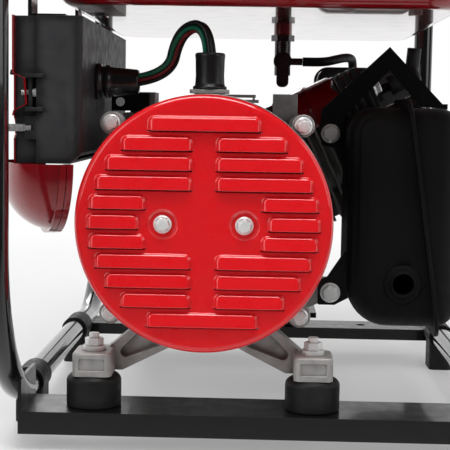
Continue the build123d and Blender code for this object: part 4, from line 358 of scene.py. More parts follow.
machined, tree, shader = new_finish("machined_steel", 0.25, metallic=1.0)
turning = waves(tree, 500.0, 0.6)
coated(tree, shader, two_tone(tree, noise(tree, 80.0, 6.0), (0.34, 0.34, 0.35), (0.56, 0.56, 0.57)),
       spread(tree, turning, 0.2, 0.34, 0.0, 1.0))
skin(tree, shader, turning, 0.00003, 0.3, 0.0004)
dress(machined, "bearing_outer_sets", "crankshaft", "camshaft", "valve_train", "connecting_rod", "piston")

# ---- Alternator cover: a deep drawn red disc, its rim rolled back over the bracket.
# Twenty louvres are pressed outward in rows, open along the bottom, and the two bolts
# sit in shallow dishes. The whole cover is one sheet, enamelled bright red.
cover_low, cover_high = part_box("alternator_cover")
cover_x = (cover_low.x + cover_high.x) / 2
cover_z = (cover_low.z + cover_high.z) / 2
cover_radius = (cover_high.x - cover_low.x) / 2
louvre_pitch = 0.0151
louvre_rise = 0.0040
louvre_height = 0.0116
face_y = cover_low.y + louvre_rise
field_radius = 0.0905
end_slope = 0.0065
top_slope = 0.0022
louvre_corner = 0.0052
louvre_gap = 0.009
louvre_fall = 0.42
end_height = 0.82
edge_margin = 0.004
bolt_half_spacing = 0.0315
dish_radius = 0.0120
dish_depth = 0.0020
dish_slope = 0.0022
bolt_hole = 0.0036
sheet_thickness = 0.0012
rim_curve = 0.0050
flat_edge = cover_radius - rim_curve
row_step = louvre_pitch / 17
column_step = 0.0011


def louvre_rows():
    """Lip height, left end and right end of each louvre, from the middle of the cover."""
    rows = []
    for row in range(-5, 6):
        middle = row * louvre_pitch
        outer = math.sqrt(field_radius ** 2 - (abs(middle) + edge_margin) ** 2)
        inner = louvre_gap
        if abs(row) <= 1:
            inner = bolt_half_spacing + dish_radius + 0.001 + 0.005 * (1 - abs(row))
        lip = middle - 4 * row_step
        if abs(row) == 5:
            rows.append((lip, -outer, outer))
        else:
            rows.append((lip, -outer, -inner))
            rows.append((lip, inner, outer))
    return rows


def eased(value):
    """A smooth step from 0 to 1."""
    value = min(1.0, max(0.0, value))
    return value * value * (3 - 2 * value)


def louvre_lift(x, z, lip, left, right):
    """How far a louvre stands out: furthest at its lip, crisp along its top, lower at its ends."""
    top = lip + louvre_height
    across = max(left + louvre_corner - x, x - right + louvre_corner, 0.0)
    up = max(z - top + louvre_corner, 0.0)
    rounded = eased((louvre_corner - math.hypot(across, up)) / top_slope)
    ends = eased(min(x - left, right - x) / end_slope)
    slope = 1.0 - louvre_fall * (z - lip) / louvre_height
    return louvre_rise * slope * rounded * (end_height + (1 - end_height) * ends)


def lift_at(x, z, rows):
    """Height of the pressed sheet at a point of the cover's face."""
    for lip, left, right in rows:
        if lip - 1e-6 <= z <= lip + louvre_height + 0.001 and left - 0.001 <= x <= right + 0.001:
            return louvre_lift(x, z, lip, left, right)
    reach = math.hypot(abs(x) - bolt_half_spacing, z)
    if reach < dish_radius + 0.001:
        return -dish_depth * eased((dish_radius - reach) / dish_slope)
    return 0.0


def pressed_face(mesh, rows, edge):
    """The cover's flat face on a fine grid, with the louvres lifted and their lips cut open."""
    count_x = int(2 * edge / column_step) + 3
    count_z = int(2 * edge / row_step) + 3
    grid = {}
    for i in range(-(count_x // 2), count_x // 2 + 1):
        for k in range(-(count_z // 2), count_z // 2 + 1):
            x = i * column_step
            z = k * row_step
            if math.hypot(x, z) < edge + 0.6 * column_step:
                grid[i, k] = (x, z)
    verts = {}
    below = set()
    lips = {round(lip / row_step): [] for lip, left, right in rows}
    for lip, left, right in rows:
        lips[round(lip / row_step)].append((left, right))
    for key, (x, z) in grid.items():
        lift = lift_at(x, z, rows)
        verts[key] = mesh.verts.new((cover_x + x, face_y - lift, cover_z + z))
        spans = lips.get(key[1], [])
        if lift > 0.0002 and any(left < x < right for left, right in spans):
            below.add(key)
    for (i, k) in grid:
        corners = [(i, k), (i + 1, k), (i + 1, k + 1), (i, k + 1)]
        if not all(c in verts for c in corners):
            continue
        if (i, k + 1) in below or (i + 1, k + 1) in below:
            continue
        x = (i + 0.5) * column_step
        z = (k + 0.5) * row_step
        if math.hypot(abs(x) - bolt_half_spacing, z) < bolt_hole:
            continue
        mesh.faces.new([verts[c] for c in corners])


def piece_of(shape, name, outward=True):
    """Turns an edited shape into a piece, its faces turned outward unless that is done already."""
    if outward:
        bmesh.ops.recalc_face_normals(shape, faces=shape.faces)
    mesh = bpy.data.meshes.new(name)
    shape.to_mesh(mesh)
    shape.free()
    piece = bpy.data.objects.new(name, mesh)
    scene.collection.objects.link(piece)
    return piece


cover_mesh = bmesh.new()
pressed_face(cover_mesh, louvre_rows(), flat_edge)
loose = [v for v in cover_mesh.verts if not v.link_faces]
bmesh.ops.delete(cover_mesh, geom=loose, context="VERTS")
outer_edges = []
for joint in cover_mesh.edges:
    if len(joint.link_faces) == 1:
        ends = [math.hypot(v.co.x - cover_x, v.co.z - cover_z) for v in joint.verts]
        if min(ends) > flat_edge - 0.003:
            outer_edges.append(joint)
for vert in {v for joint in outer_edges for v in joint.verts}:
    away = Vector((vert.co.x - cover_x, 0, vert.co.z - cover_z)).normalized() * flat_edge
    vert.co = Vector((cover_x + away.x, face_y, cover_z + away.z))
rim_path = [(math.sin(math.radians(a)) * rim_curve, (1 - math.cos(math.radians(a))) * rim_curve)
            for a in range(15, 91, 15)]
back_depth = cover_high.y - face_y
rim_path += [(rim_curve, back_depth * share) for share in (0.4, 0.7, 0.93)]
rim_path += [(rim_curve, back_depth)]
ring = outer_edges
for out, back in rim_path:
    grown = bmesh.ops.extrude_edge_only(cover_mesh, edges=ring)["geom"]
    ring = [g for g in grown if isinstance(g, bmesh.types.BMEdge)]
    for vert in [g for g in grown if isinstance(g, bmesh.types.BMVert)]:
        away = Vector((vert.co.x - cover_x, 0, vert.co.z - cover_z)).normalized() * (flat_edge + out)
        vert.co = Vector((cover_x + away.x, face_y + back, cover_z + away.z))
bmesh.ops.recalc_face_normals(cover_mesh, faces=cover_mesh.faces)
front_face = max(cover_mesh.faces, key=lambda f: f.calc_area() if abs(f.normal.y) > 0.99 else 0)
if front_face.normal.y > 0:
    bmesh.ops.reverse_faces(cover_mesh, faces=cover_mesh.faces)
for face in cover_mesh.faces:
    face.smooth = True
cover = piece_of(cover_mesh, "louvred_cover", outward=False)
wall = cover.modifiers.new("wall", "SOLIDIFY")
wall.thickness = sheet_thickness
wall.offset = -1.0
wall.use_even_offset = False


def settle(piece):
    """Turns a piece with live modifiers into a plain mesh of the same name."""
    bpy.context.view_layer.update()
    seen_by = bpy.context.evaluated_depsgraph_get()
    fixed = bpy.data.meshes.new_from_object(piece.evaluated_get(seen_by))
    piece.modifiers.clear()
    piece.data = fixed
    return piece


settle(cover)
red, tree, shader = new_finish("red_enamel", 0.3, coat=0.85, coat_rough=0.05, specular=0.25)
shader.inputs["Coat IOR"].default_value = 1.75
tone = noise(tree, 9.0, 3.0)
paint = two_tone(tree, tone, (0.70, 0.004, 0.009), (0.82, 0.007, 0.012))
# Painted shade: the red is painted dark in hollows and corners, such as under the louvre lips.
shade = spread(tree, shade_in_corners(tree, 0.004), 0.0, 1.0, 0.25, 0.8)
coated(tree, shader, two_tone(tree, shade, (0.16, 0.001, 0.002), paint),
       spread(tree, noise(tree, 70.0), 0.24, 0.36))
skin(tree, shader, noise(tree, 380.0, 2.0), 0.0002, 0.22, 0.0006)
dress(red, "louvred_cover")
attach(cover, "frame")
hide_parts("alternator_cover")

# ---- Fasteners: M6 flange bolts on the cover, its lugs and the crankcase cover, and M8 ones
# on the brackets, the adapter and the head. Each head is one forging with a thin flange, a
# chamfered hexagon and a shallow dished top, zinc plated; the shank is plain.
flats_to_corner = 0.57735
sixth_turn = 1.047
hexagon_low = 0.0010
flange_edge = 0.0009
lip_rise = 0.0003


def group_socket(tree, name, kind="NodeSocketFloat"):
    """A named input of a node group."""
    return tree.interface.new_socket(name, in_out="INPUT", socket_type=kind)


def raised(tree, shape, height):
    """A shape moved up its own axis."""
    place = made(tree, "ShaderNodeCombineXYZ", {"Z": height})
    move = made(tree, "GeometryNodeTransform", {"Geometry": shape, "Translation": place.outputs[0]})
    return move.outputs[0]


def column(tree, sides, radius, low, high, top_radius=None):
    """A closed column or cone from one height to another."""
    node = made(tree, "GeometryNodeMeshCone", {
        "Vertices": sides, "Radius Bottom": radius, "Depth": sum_of(tree, "SUBTRACT", high, low),
        "Radius Top": radius if top_radius is None else top_radius,
    })
    return raised(tree, node.outputs["Mesh"], low)


def bolt_tree():
    """Node group that puts a flange bolt on every point, its head towards the turned Z axis."""
    tree = bpy.data.node_groups.new("flange_bolt", "GeometryNodeTree")
    group_socket(tree, "Points", "NodeSocketGeometry")
    for name in ("Across Flats", "Head Height", "Flange Radius", "Shank Radius", "Shank Length"):
        group_socket(tree, name)
    group_socket(tree, "Turn", "NodeSocketVector")
    group_socket(tree, "Finish", "NodeSocketMaterial")
    tree.interface.new_socket("Bolts", in_out="OUTPUT", socket_type="NodeSocketGeometry")
    given = tree.nodes.new("NodeGroupInput").outputs
    result = tree.nodes.new("NodeGroupOutput")
    across = given["Across Flats"]
    height = given["Head Height"]
    flange = given["Flange Radius"]
    corner = sum_of(tree, "MULTIPLY", across, flats_to_corner)
    shoulder = sum_of(tree, "MULTIPLY", height, 0.84)
    crown = sum_of(tree, "MULTIPLY", across, 0.46)
    hexagon = column(tree, 6, corner, hexagon_low, shoulder)
    cap = made(tree, "GeometryNodeMeshCircle", {"Vertices": 30, "Radius": crown})
    joined = tree.nodes.new("GeometryNodeJoinGeometry")
    tree.links.new(hexagon, joined.inputs[0])
    tree.links.new(raised(tree, cap.outputs["Mesh"], height), joined.inputs[0])
    hull = tree.nodes.new("GeometryNodeConvexHull")
    tree.links.new(joined.outputs[0], hull.inputs[0])
    lip_out = sum_of(tree, "MULTIPLY", across, 0.40)
    lip_in = sum_of(tree, "MULTIPLY", across, 0.33)
    lip_high = sum_of(tree, "ADD", height, lip_rise)
    lip = column(tree, 30, lip_out, height, lip_high, lip_in)
    rim_high = sum_of(tree, "MULTIPLY", flange, 0.30)
    rim = column(tree, 40, flange, 0.0, flange_edge)
    slope = column(tree, 40, flange, flange_edge, rim_high, corner)
    low = sum_of(tree, "MULTIPLY", given["Shank Length"], -1.0)
    shank = column(tree, 24, given["Shank Radius"], low, 0.0)
    bolt = tree.nodes.new("GeometryNodeJoinGeometry")
    for part in (hull.outputs[0], lip, rim, slope, shank):
        tree.links.new(part, bolt.inputs[0])
    each = {"Points": given["Points"], "Instance": bolt.outputs[0]}
    placed = made(tree, "GeometryNodeInstanceOnPoints", each)
    spin = tree.nodes.new("FunctionNodeRandomValue")
    spin.data_type = "FLOAT"
    spin.inputs[2].default_value = 0.0
    spin.inputs[3].default_value = sixth_turn
    spin.inputs["Seed"].default_value = 7
    angle = made(tree, "ShaderNodeCombineXYZ", {"Z": spin.outputs[1]})
    turned = tree.nodes.new("FunctionNodeEulerToRotation")
    tree.links.new(given["Turn"], turned.inputs[0])
    spun = tree.nodes.new("FunctionNodeEulerToRotation")
    tree.links.new(angle.outputs[0], spun.inputs[0])
    both = tree.nodes.new("FunctionNodeRotateRotation")
    both.rotation_space = "LOCAL"
    tree.links.new(turned.outputs[0], both.inputs[0])
    tree.links.new(spun.outputs[0], both.inputs[1])
    tree.links.new(both.outputs[0], placed.inputs["Rotation"])
    solid = tree.nodes.new("GeometryNodeRealizeInstances")
    tree.links.new(placed.outputs[0], solid.inputs[0])
    coat = made(tree, "GeometryNodeSetMaterial", {"Geometry": solid.outputs[0], "Material": given["Finish"]})
    tree.links.new(coat.outputs[0], result.inputs[0])
    return tree


bolt_maker = bolt_tree()
bolt_inputs = {s.name: s.identifier for s in bolt_maker.interface.items_tree if s.in_out == "INPUT"}


def set_of_bolts(name, node, places, turn, flats, head, flange, shank, length):
    """Equal bolts in place of a CAD node's, with their heads the way of the turned Z axis."""
    points = bpy.data.meshes.new(name)
    points.from_pydata([tuple(p) for p in places], [], [])
    piece = bpy.data.objects.new(name, points)
    scene.collection.objects.link(piece)
    modifier = piece.modifiers.new("flange_bolt", "NODES")
    modifier.node_group = bolt_maker
    for label, value in (("Across Flats", flats), ("Head Height", head), ("Flange Radius", flange),
                         ("Shank Radius", shank), ("Shank Length", length), ("Turn", turn),
                         ("Finish", zinc)):
        modifier[bolt_inputs[label]] = value
    settle(piece)
    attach(piece, "frame")
    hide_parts(node)


def round_cover(radius, y, first):
    """Four places on a circle round the cover's middle, from a first angle on."""
    turns = [math.radians(angle) for angle in range(first, 360, 90)]
    return [(cover_x + radius * math.cos(turn), y, cover_z + radius * math.sin(turn)) for turn in turns]


facing_front = (math.radians(90), 0.0, 0.0)
lug_radius = 0.1085
adapter_radius = 0.060
cover_bolt_places = [(cover_x + side * bolt_half_spacing, -0.2540, cover_z) for side in (-1, 1)]
case_places = [(x, -0.034, z) for x in (-0.111, 0.021) for z in (0.089, 0.244)]
set_of_bolts("lug_bolts", "through_bolts", round_cover(lug_radius, -0.212, 45), facing_front,
             flats=0.010, head=0.007, flange=0.0072, shank=0.003, length=0.135)
set_of_bolts("cover_bolts", "flange_bolts", cover_bolt_places, facing_front,
             flats=0.010, head=0.007, flange=0.0071, shank=0.003, length=0.020)
set_of_bolts("bracket_bolts", "flange_bolts", [(0.064, -0.115, 0.110), (0.065, -0.047, 0.250)], facing_front,
             flats=0.013, head=0.009, flange=0.00895, shank=0.004, length=0.021)
set_of_bolts("adapter_bolts", "flange_bolts", round_cover(adapter_radius, -0.056, 0), facing_front,
             flats=0.012, head=0.006, flange=0.0085, shank=0.004, length=0.032)
set_of_bolts("case_cover_bolts", "flange_bolts", case_places, facing_front,
             flats=0.010, head=0.007, flange=0.0071, shank=0.003, length=0.0137)
barrel_lean = math.radians(25)
barrel_foot = Vector((-0.043, 0.048, 0.181))
barrel_way = Vector((math.cos(barrel_lean), 0, math.sin(barrel_lean)))
barrel_up = Vector((-math.sin(barrel_lean), 0, math.cos(barrel_lean)))
head_face = 0.1845
head_places = [
    barrel_foot + barrel_way * head_face + barrel_up * up + Vector((0, y, 0))
    for y in (-0.040, 0.040) for up in (-0.046, 0.038)
]
set_of_bolts("head_bolts", "flange_bolts", head_places, (0.0, math.radians(90) - barrel_lean, 0.0),
             flats=0.012, head=0.0076, flange=0.008, shank=0.004, length=0.0497)

# ---- Red pressings: the blower and recoil housings, the cowl, the tank and the control panel.
# They are drawn from thin sheet and enamelled in the cover's red, here painted darker as shade.
shaded_red, tree, shader = new_finish("shaded_red_enamel", 0.16, metallic=0.2, coat=1.0, coat_rough=0.02,
                                    specular=0.4)
# Painted shade: this is the cover's red painted dark, for the shade these pressings lie in.
paint = two_tone(tree, noise(tree, 12.0, 3.0), (0.20, 0.002, 0.005), (0.28, 0.003, 0.008))
coated(tree, shader, paint, spread(tree, noise(tree, 70.0), 0.14, 0.22))
skin(tree, shader, noise(tree, 320.0, 2.0), 0.0001, 0.2, 0.0006)
dress(shaded_red, "blower_housing", "recoil_housing", "panel_cowl", "fuel_tank", "control_panel")

# ---- Cylinder shroud: a thin red pressing bent round the barrel, over the fins.
# It is a rounded arch with a raised bead across it, and its outer edge is cut in waves.
shroud_half = 0.0545
shroud_low = 0.026
shroud_top = 0.0685
shroud_start = 0.100
shroud_end = 0.1515
shroud_sheet = 0.0010
shroud_inset = 0.0014
arch_power = 0.72
wave_depth = 0.004
wave_angle = 28
bead_place = 0.1225
bead_rise = 0.0012
bead_width = 0.0022
arch_steps = 48
length_steps = 30


def arch_point(share, lift):
    """Sideways and upward place on the pressing: a rounded flank, then flat over the fins."""
    if share > 0.5:
        return (2 * share - 1) * shroud_half, shroud_top + lift
    turn = math.pi * share
    wide = math.cos(turn) ** arch_power
    high = math.sin(turn) ** arch_power
    return -wide * (shroud_half + lift), shroud_low + high * (shroud_top - shroud_low + lift)


def shroud_grid(lift):
    """Rows of points of the arch, from its inner end to its waved outer edge."""
    rows = []
    for step in range(length_steps + 1):
        row = []
        for index in range(arch_steps + 1):
            share = index / arch_steps
            waved = shroud_end - wave_depth * (0.5 + 0.5 * math.cos(share * wave_angle))
            along = shroud_start + (waved - shroud_start) * step / length_steps
            bead = bead_rise * math.exp(-((along - bead_place) / bead_width) ** 2)
            side, up = arch_point(share, lift + bead)
            row.append(barrel_foot + barrel_way * along + barrel_up * up + Vector((0, side, 0)))
        rows.append(row)
    return rows


shroud_mesh = bmesh.new()
outer = [[shroud_mesh.verts.new(p) for p in row] for row in shroud_grid(-shroud_inset)]
inner = [[shroud_mesh.verts.new(p) for p in row] for row in shroud_grid(-shroud_inset - shroud_sheet)]
for layer in (outer, inner):
    for step in range(length_steps):
        for index in range(arch_steps):
            shroud_mesh.faces.new((layer[step][index], layer[step][index + 1],
                                   layer[step + 1][index + 1], layer[step + 1][index])).smooth = True
around = [(step, 0) for step in range(length_steps)]
around += [(length_steps, index) for index in range(arch_steps)]
around += [(step, arch_steps) for step in range(length_steps, 0, -1)]
around += [(0, index) for index in range(arch_steps, 0, -1)]
for first, after in zip(around, around[1:] + around[:1]):
    shroud_mesh.faces.new((outer[first[0]][first[1]], outer[after[0]][after[1]],
                           inner[after[0]][after[1]], inner[first[0]][first[1]]))
shroud = piece_of(shroud_mesh, "barrel_shroud")
# The shroud takes the cover's red painted darker as shade.
dress(shaded_red, "barrel_shroud")
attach(shroud, "frame")
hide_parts("cylinder_shroud")

# ---- Engine castings under black paint: the finned head, the valve cover and the flywheel.
# The fins are cast and painted semi gloss black, and a painted highlight lightens their rounded edges.
black_cast, tree, shader = new_finish("black_painted_casting", 0.30, coat=0.9, coat_rough=0.08, specular=0.5)
base = two_tone(tree, noise(tree, 40.0, 6.0), (0.005, 0.005, 0.0055), (0.013, 0.013, 0.0135))
# Painted highlight: the edge mask lightens the black to grey along the edges.
coated(tree, shader, two_tone(tree, edge_mask(tree, 0.0009), base, (0.09, 0.09, 0.092)),
       spread(tree, noise(tree, 260.0), 0.26, 0.42))
skin(tree, shader, noise(tree, 1800.0, 4.0), 0.0002, 0.5, 0.0008)
dress(black_cast, "cylinder_head", "valve_cover", "flywheel")

# ---- Moulded plastic: the control box, its fittings, the air cleaner and small levers.
# Glass filled nylon, spark eroded to an even fine grain, a little shinier where handled. The
# fuel valve and its lever are moulded in a smoked red plastic.
plastic, tree, shader = new_finish("grained_black_plastic", 0.5, specular=0.35)
grain = noise(tree, 1100.0, 3.0)
# Painted sheen: lighter clouds in the colour stand for a soft sheen, and painted shade darkens the edges.
cloud = noise(tree, 110.0, 6.0)
base = two_tone(tree, cloud, (0.026, 0.026, 0.028), (0.052, 0.052, 0.055))
coated(tree, shader, two_tone(tree, edge_mask(tree, 0.009, 0.0, 0.35), base, (0.004, 0.004, 0.004)),
       spread(tree, cloud, 0.42, 0.6))
skin(tree, shader, grain, 0.00025, 0.5, 0.001)
dress(plastic, "control_box", "air_cleaner", "alternator_fan", "starter_pulley", "ignition_coil",
      "choke_lever", "oil_dipstick", "fuel_cap", "receptacles", "engine_switch", "breaker_toggle",
      "reset_button", "spark_plug")

smoked, tree, shader = new_finish("smoked_red_plastic", 0.28, coat=0.5, coat_rough=0.1, specular=0.5)
coated(tree, shader, two_tone(tree, noise(tree, 80.0, 3.0), (0.020, 0.003, 0.004), (0.045, 0.004, 0.007)),
       spread(tree, noise(tree, 240.0), 0.22, 0.36))
skin(tree, shader, noise(tree, 600.0, 2.0), 0.0001, 0.3, 0.0005)
dress(smoked, "fuel_valve", "fuel_valve_lever")

# ---- Panel fittings: black switch frames, a zinc plated M6 ground stud and a panel screw.
# The stud's thread is a relief along its length; the frames are smooth moulded plastic.
fittings, tree, shader = new_finish("panel_fittings", 0.5, specular=0.4)
fastener_y = -0.2365
stud_z = 0.253
screw_z = 0.2805


def near_axis(height, reach):
    """1 within reach of a line along X at the fasteners' Y and a height."""
    axes = axes_of(tree, in_place(tree))
    flat = made(tree, "ShaderNodeCombineXYZ", {"Y": axes["Y"], "Z": axes["Z"]})
    away = tree.nodes.new("ShaderNodeVectorMath")
    away.operation = "DISTANCE"
    away.inputs[1].default_value = (0.0, fastener_y, height)
    tree.links.new(flat.outputs[0], away.inputs[0])
    return sum_of(tree, "LESS_THAN", away.outputs["Value"], reach)


stud_mask = near_axis(stud_z, 0.0042)
plated = sum_of(tree, "MAXIMUM", stud_mask, near_axis(screw_z, 0.0045))
threads = waves(tree, 314.0, way="X")
# Painted light and shade: the thread's roots are painted dark and its crests light.
painted_thread_shading = two_tone(tree, threads, (0.18, 0.19, 0.19), (0.85, 0.87, 0.86))
moulded = two_tone(tree, noise(tree, 40.0), (0.010, 0.010, 0.011), (0.024, 0.024, 0.025))
tree.links.new(two_tone(tree, plated, moulded, painted_thread_shading), shader.inputs["Base Color"])
tree.links.new(sum_of(tree, "MULTIPLY", plated, 0.6), shader.inputs["Metallic"])
tree.links.new(spread(tree, plated, 0.5, 0.26, 0.0, 1.0), shader.inputs["Roughness"])
relief = two_tone(tree, stud_mask, (0.5, 0.5, 0.5), threads)
skin(tree, shader, relief, 0.0008, 1.0)
dress(fittings, "panel_hardware")

# ---- Wiring: a tapered boot on the box, a glossy sleeve on the alternator and the leads between.
# The boot is moulded rubber and the sleeve vinyl. Five vinyl covered leads lie together in a
# loose twist.
boot_y, boot_z = -0.156, 0.292
sleeve_x, sleeve_y = -0.043, -0.178


def bridged(shape, near, far, smooth=True):
    """Faces between two rings of as many points."""
    for step in range(len(near)):
        after = (step + 1) % len(near)
        shape.faces.new((near[step], near[after], far[after], far[step])).smooth = smooth


def lathed(name, profile, origin, axis, sides=64):
    """A closed turned shape: profile is radius and distance along the axis, outside first."""
    shape = bmesh.new()
    turn = Vector(axis).to_track_quat("Z", "Y")
    rings = []
    for radius, along in profile:
        ring = []
        for step in range(sides):
            angle = 2 * math.pi * step / sides
            point = Vector((radius * math.cos(angle), radius * math.sin(angle), along))
            ring.append(shape.verts.new(Vector(origin) + turn @ point))
        rings.append(ring)
    for near, far in zip(rings, rings[1:] + rings[:1]):
        bridged(shape, near, far)
    return piece_of(shape, name)


def route_points(name, places):
    """Evenly read points of one smooth line through the route."""
    line = bpy.data.curves.new(name, "CURVE")
    line.dimensions = "3D"
    spline = line.splines.new("NURBS")
    spline.points.add(len(places) - 1)
    for point, place in zip(spline.points, places):
        point.co = (*place, 1)
    spline.order_u = 3
    spline.use_endpoint_u = True
    line.resolution_u = 24
    holder = bpy.data.objects.new(name, line)
    scene.collection.objects.link(holder)
    bpy.context.view_layer.update()
    plain = bpy.data.meshes.new_from_object(holder.evaluated_get(bpy.context.evaluated_depsgraph_get()))
    points = [v.co.copy() for v in plain.vertices]
    bpy.data.objects.remove(holder)
    return points


def carried_frames(points):
    """Direction and two steady side directions at each point of a line."""
    frames = []
    side_way = None
    for index, point in enumerate(points):
        before = points[max(0, index - 1)]
        after = points[min(len(points) - 1, index + 1)]
        ahead = (after - before).normalized()
        if side_way is None:
            side_way = ahead.orthogonal().normalized()
        side_way = (side_way - ahead * side_way.dot(ahead)).normalized()
        frames.append((point, side_way, ahead.cross(side_way)))
    return frames


def lead(name, frames, radius, offset, start, twist, sides=14):
    """One round lead that winds slowly about a line, with closed ends."""
    shape = bmesh.new()
    travelled = 0.0
    rings = []
    last = frames[0][0]
    for point, first, second in frames:
        travelled += (point - last).length
        last = point
        angle = start + twist * travelled
        middle = point + offset * (first * math.cos(angle) + second * math.sin(angle))
        ring = []
        for step in range(sides):
            turn = 2 * math.pi * step / sides
            out = first * math.cos(turn) + second * math.sin(turn)
            ring.append(shape.verts.new(middle + radius * out))
        rings.append(ring)
    for near, far in zip(rings, rings[1:]):
        bridged(shape, near, far)
    shape.faces.new(rings[0])
    shape.faces.new(rings[-1])
    return piece_of(shape, name)


def vinyl(name, low, high):
    """Smooth vinyl insulation in one colour, slightly cloudy."""
    material, tree, shader = new_finish(name, 0.32, specular=0.5)
    coated(tree, shader, two_tone(tree, noise(tree, 90.0), low, high),
           spread(tree, noise(tree, 300.0), 0.26, 0.42))
    skin(tree, shader, noise(tree, 700.0, 2.0), 0.0001, 0.3)
    return material


lead_route = [
    (-0.1315, -0.156, 0.292), (-0.0795, -0.156, 0.292), (-0.070, -0.160, 0.336),
    (-0.043, -0.178, 0.340), (-0.043, -0.178, 0.298),
]
lead_twist = 9.0
lead_frames = carried_frames(route_points("lead_route", lead_route))
vinyl_black = vinyl("black_vinyl", (0.006, 0.006, 0.006), (0.014, 0.014, 0.014))
vinyl_green = vinyl("green_vinyl", (0.0, 0.10, 0.05), (0.0, 0.16, 0.085))
vinyl_red = vinyl("dark_red_vinyl", (0.13, 0.004, 0.006), (0.20, 0.006, 0.010))
lead_kinds = [
    ("lead_black_1", vinyl_black, 0.0024, 0.0033, 0.0), ("lead_green", vinyl_green, 0.0019, 0.0037, 1.30),
    ("lead_red", vinyl_red, 0.0016, 0.0040, 2.30), ("lead_black_2", vinyl_black, 0.0024, 0.0033, 3.40),
    ("lead_black_3", vinyl_black, 0.0022, 0.0034, 4.85),
]
for name, finish, radius, offset, start in lead_kinds:
    wire = lead(name, lead_frames, radius, offset, start, lead_twist)
    dress(finish, name)
    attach(wire, "frame")
    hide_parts("wire_harness")

boot_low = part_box("cable_boot")[0]
boot_profile = [
    (0.0150, 0.0), (0.0152, 0.0012), (0.0152, 0.0030), (0.0148, 0.0040), (0.0128, 0.0046),
    (0.0127, 0.0072), (0.0138, 0.0080), (0.0140, 0.0096), (0.0138, 0.0112), (0.0126, 0.0122),
    (0.0121, 0.0150), (0.0112, 0.0260), (0.0105, 0.0338), (0.0101, 0.0352), (0.0094, 0.0358),
    (0.0078, 0.0350), (0.0070, 0.0330), (0.0068, 0.0200), (0.0068, 0.0),
]
gloss_rubber, tree, shader = new_finish("smooth_rubber", 0.26, coat=0.8, coat_rough=0.16, specular=0.5)
coated(tree, shader, two_tone(tree, noise(tree, 60.0, 5.0), (0.005, 0.005, 0.005), (0.013, 0.013, 0.013)),
       spread(tree, noise(tree, 220.0), 0.24, 0.40))
skin(tree, shader, noise(tree, 900.0, 3.0), 0.0001, 0.3)
boot = lathed("boot", boot_profile, (boot_low.x, boot_y, boot_z), (1, 0, 0))
dress(gloss_rubber, "boot")
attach(boot, "frame")
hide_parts("cable_boot")

sleeve_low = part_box("cable_sleeve")[0]
sleeve_profile = [
    (0.0138, 0.0), (0.0140, 0.0010), (0.0139, 0.0024), (0.0124, 0.0034), (0.0120, 0.0060),
    (0.0117, 0.0120), (0.0119, 0.0180), (0.0120, 0.0240), (0.0122, 0.0262), (0.0124, 0.0276),
    (0.0122, 0.0292), (0.0112, 0.0300), (0.0086, 0.0300), (0.0076, 0.0290), (0.0070, 0.0270),
    (0.0066, 0.0200), (0.0066, 0.0),
]
sleeve = lathed("sleeve", sleeve_profile, (sleeve_x, sleeve_y, sleeve_low.z), (0, 0, 1))
dress(vinyl_black, "sleeve")
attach(sleeve, "frame")
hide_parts("cable_sleeve")

# ---- Muffler: two stamped steel halves joined by a folded seam that leans with the engine.
# The shell is pillowed, ribbed down its inner flank and sprayed matt black for heat.
heat_black, tree, shader = new_finish("matt_heat_black", 0.58, specular=0.22)
base = two_tone(tree, noise(tree, 18.0, 6.0), (0.0035, 0.0035, 0.0035), (0.0085, 0.0080, 0.0075))
coated(tree, shader, base, spread(tree, noise(tree, 140.0), 0.55, 0.7))
skin(tree, shader, noise(tree, 2000.0, 4.0), 0.0001, 0.4, 0.0008)
shell_left = 0.077
shell_right = 0.178
shell_low = 0.079
shell_high = 0.276
shell_front = -0.128
shell_back = -0.012


def rounded_outline(left, right, low, high, radii, steps=10):
    """Points and outward directions round a rectangle, from its upper right corner to the left."""
    result = []
    corners = ((right, -1, high, -1), (left, 1, high, -1), (left, 1, low, 1), (right, -1, low, 1))
    for quarter, ((x, x_way, z, z_way), radius) in enumerate(zip(corners, radii)):
        centre = Vector((x + x_way * radius, 0, z + z_way * radius))
        for step in range(steps + 1):
            angle = math.radians(90 * quarter + 90 * step / steps)
            way = Vector((math.cos(angle), 0, math.sin(angle)))
            result.append((centre + way * radius, way))
    return result


def with_sides(points, most=0.006):
    """The same outline with its straight sides divided evenly."""
    result = []
    for (here, way), (there, next_way) in zip(points, points[1:] + points[:1]):
        result.append((here, way))
        gap = (there - here).length
        parts = int(gap / most)
        for part in range(1, parts):
            result.append((here.lerp(there, part / parts), way.lerp(next_way, part / parts).normalized()))
    return result


def rib_height(angle):
    """Three ribs round the front edge, by the angle from flank to face."""
    height = 0.0
    for centre in (14.0, 38.0, 62.0):
        height += math.exp(-((angle - centre) / 6.5) ** 2)
    return height


shell_radii = (0.022, 0.026, 0.038, 0.022)
shell_outline = with_sides(rounded_outline(shell_left, shell_right, shell_low, shell_high, shell_radii))
front_radius = 0.020
outlet_x = 0.1265
outlet_z = 0.1205
outlet_hole = 0.0108
outlet_depth = 0.040
back_radius = 0.014
rib_rise = 0.0016
shell_inset = 0.0016
far_from_ribs = -40.0
shell = bmesh.new()
shell_rings = []
sections = []
for step in range(25):
    angle = 90.0 * (24 - step) / 24
    sections.append((shell_front + front_radius * (1 - math.sin(math.radians(angle))),
                     front_radius * (1 - math.cos(math.radians(angle))), angle))
shell_straight = shell_back - back_radius - shell_front - front_radius
sections += [(shell_front + front_radius + shell_straight * t, 0.0, far_from_ribs)
             for t in (0.1, 0.3, 0.5, 0.7, 0.9)]
for step in range(7):
    angle = 90.0 * step / 6
    sections.append((shell_back - back_radius * (1 - math.sin(math.radians(angle))),
                     back_radius * (1 - math.cos(math.radians(angle))), far_from_ribs))
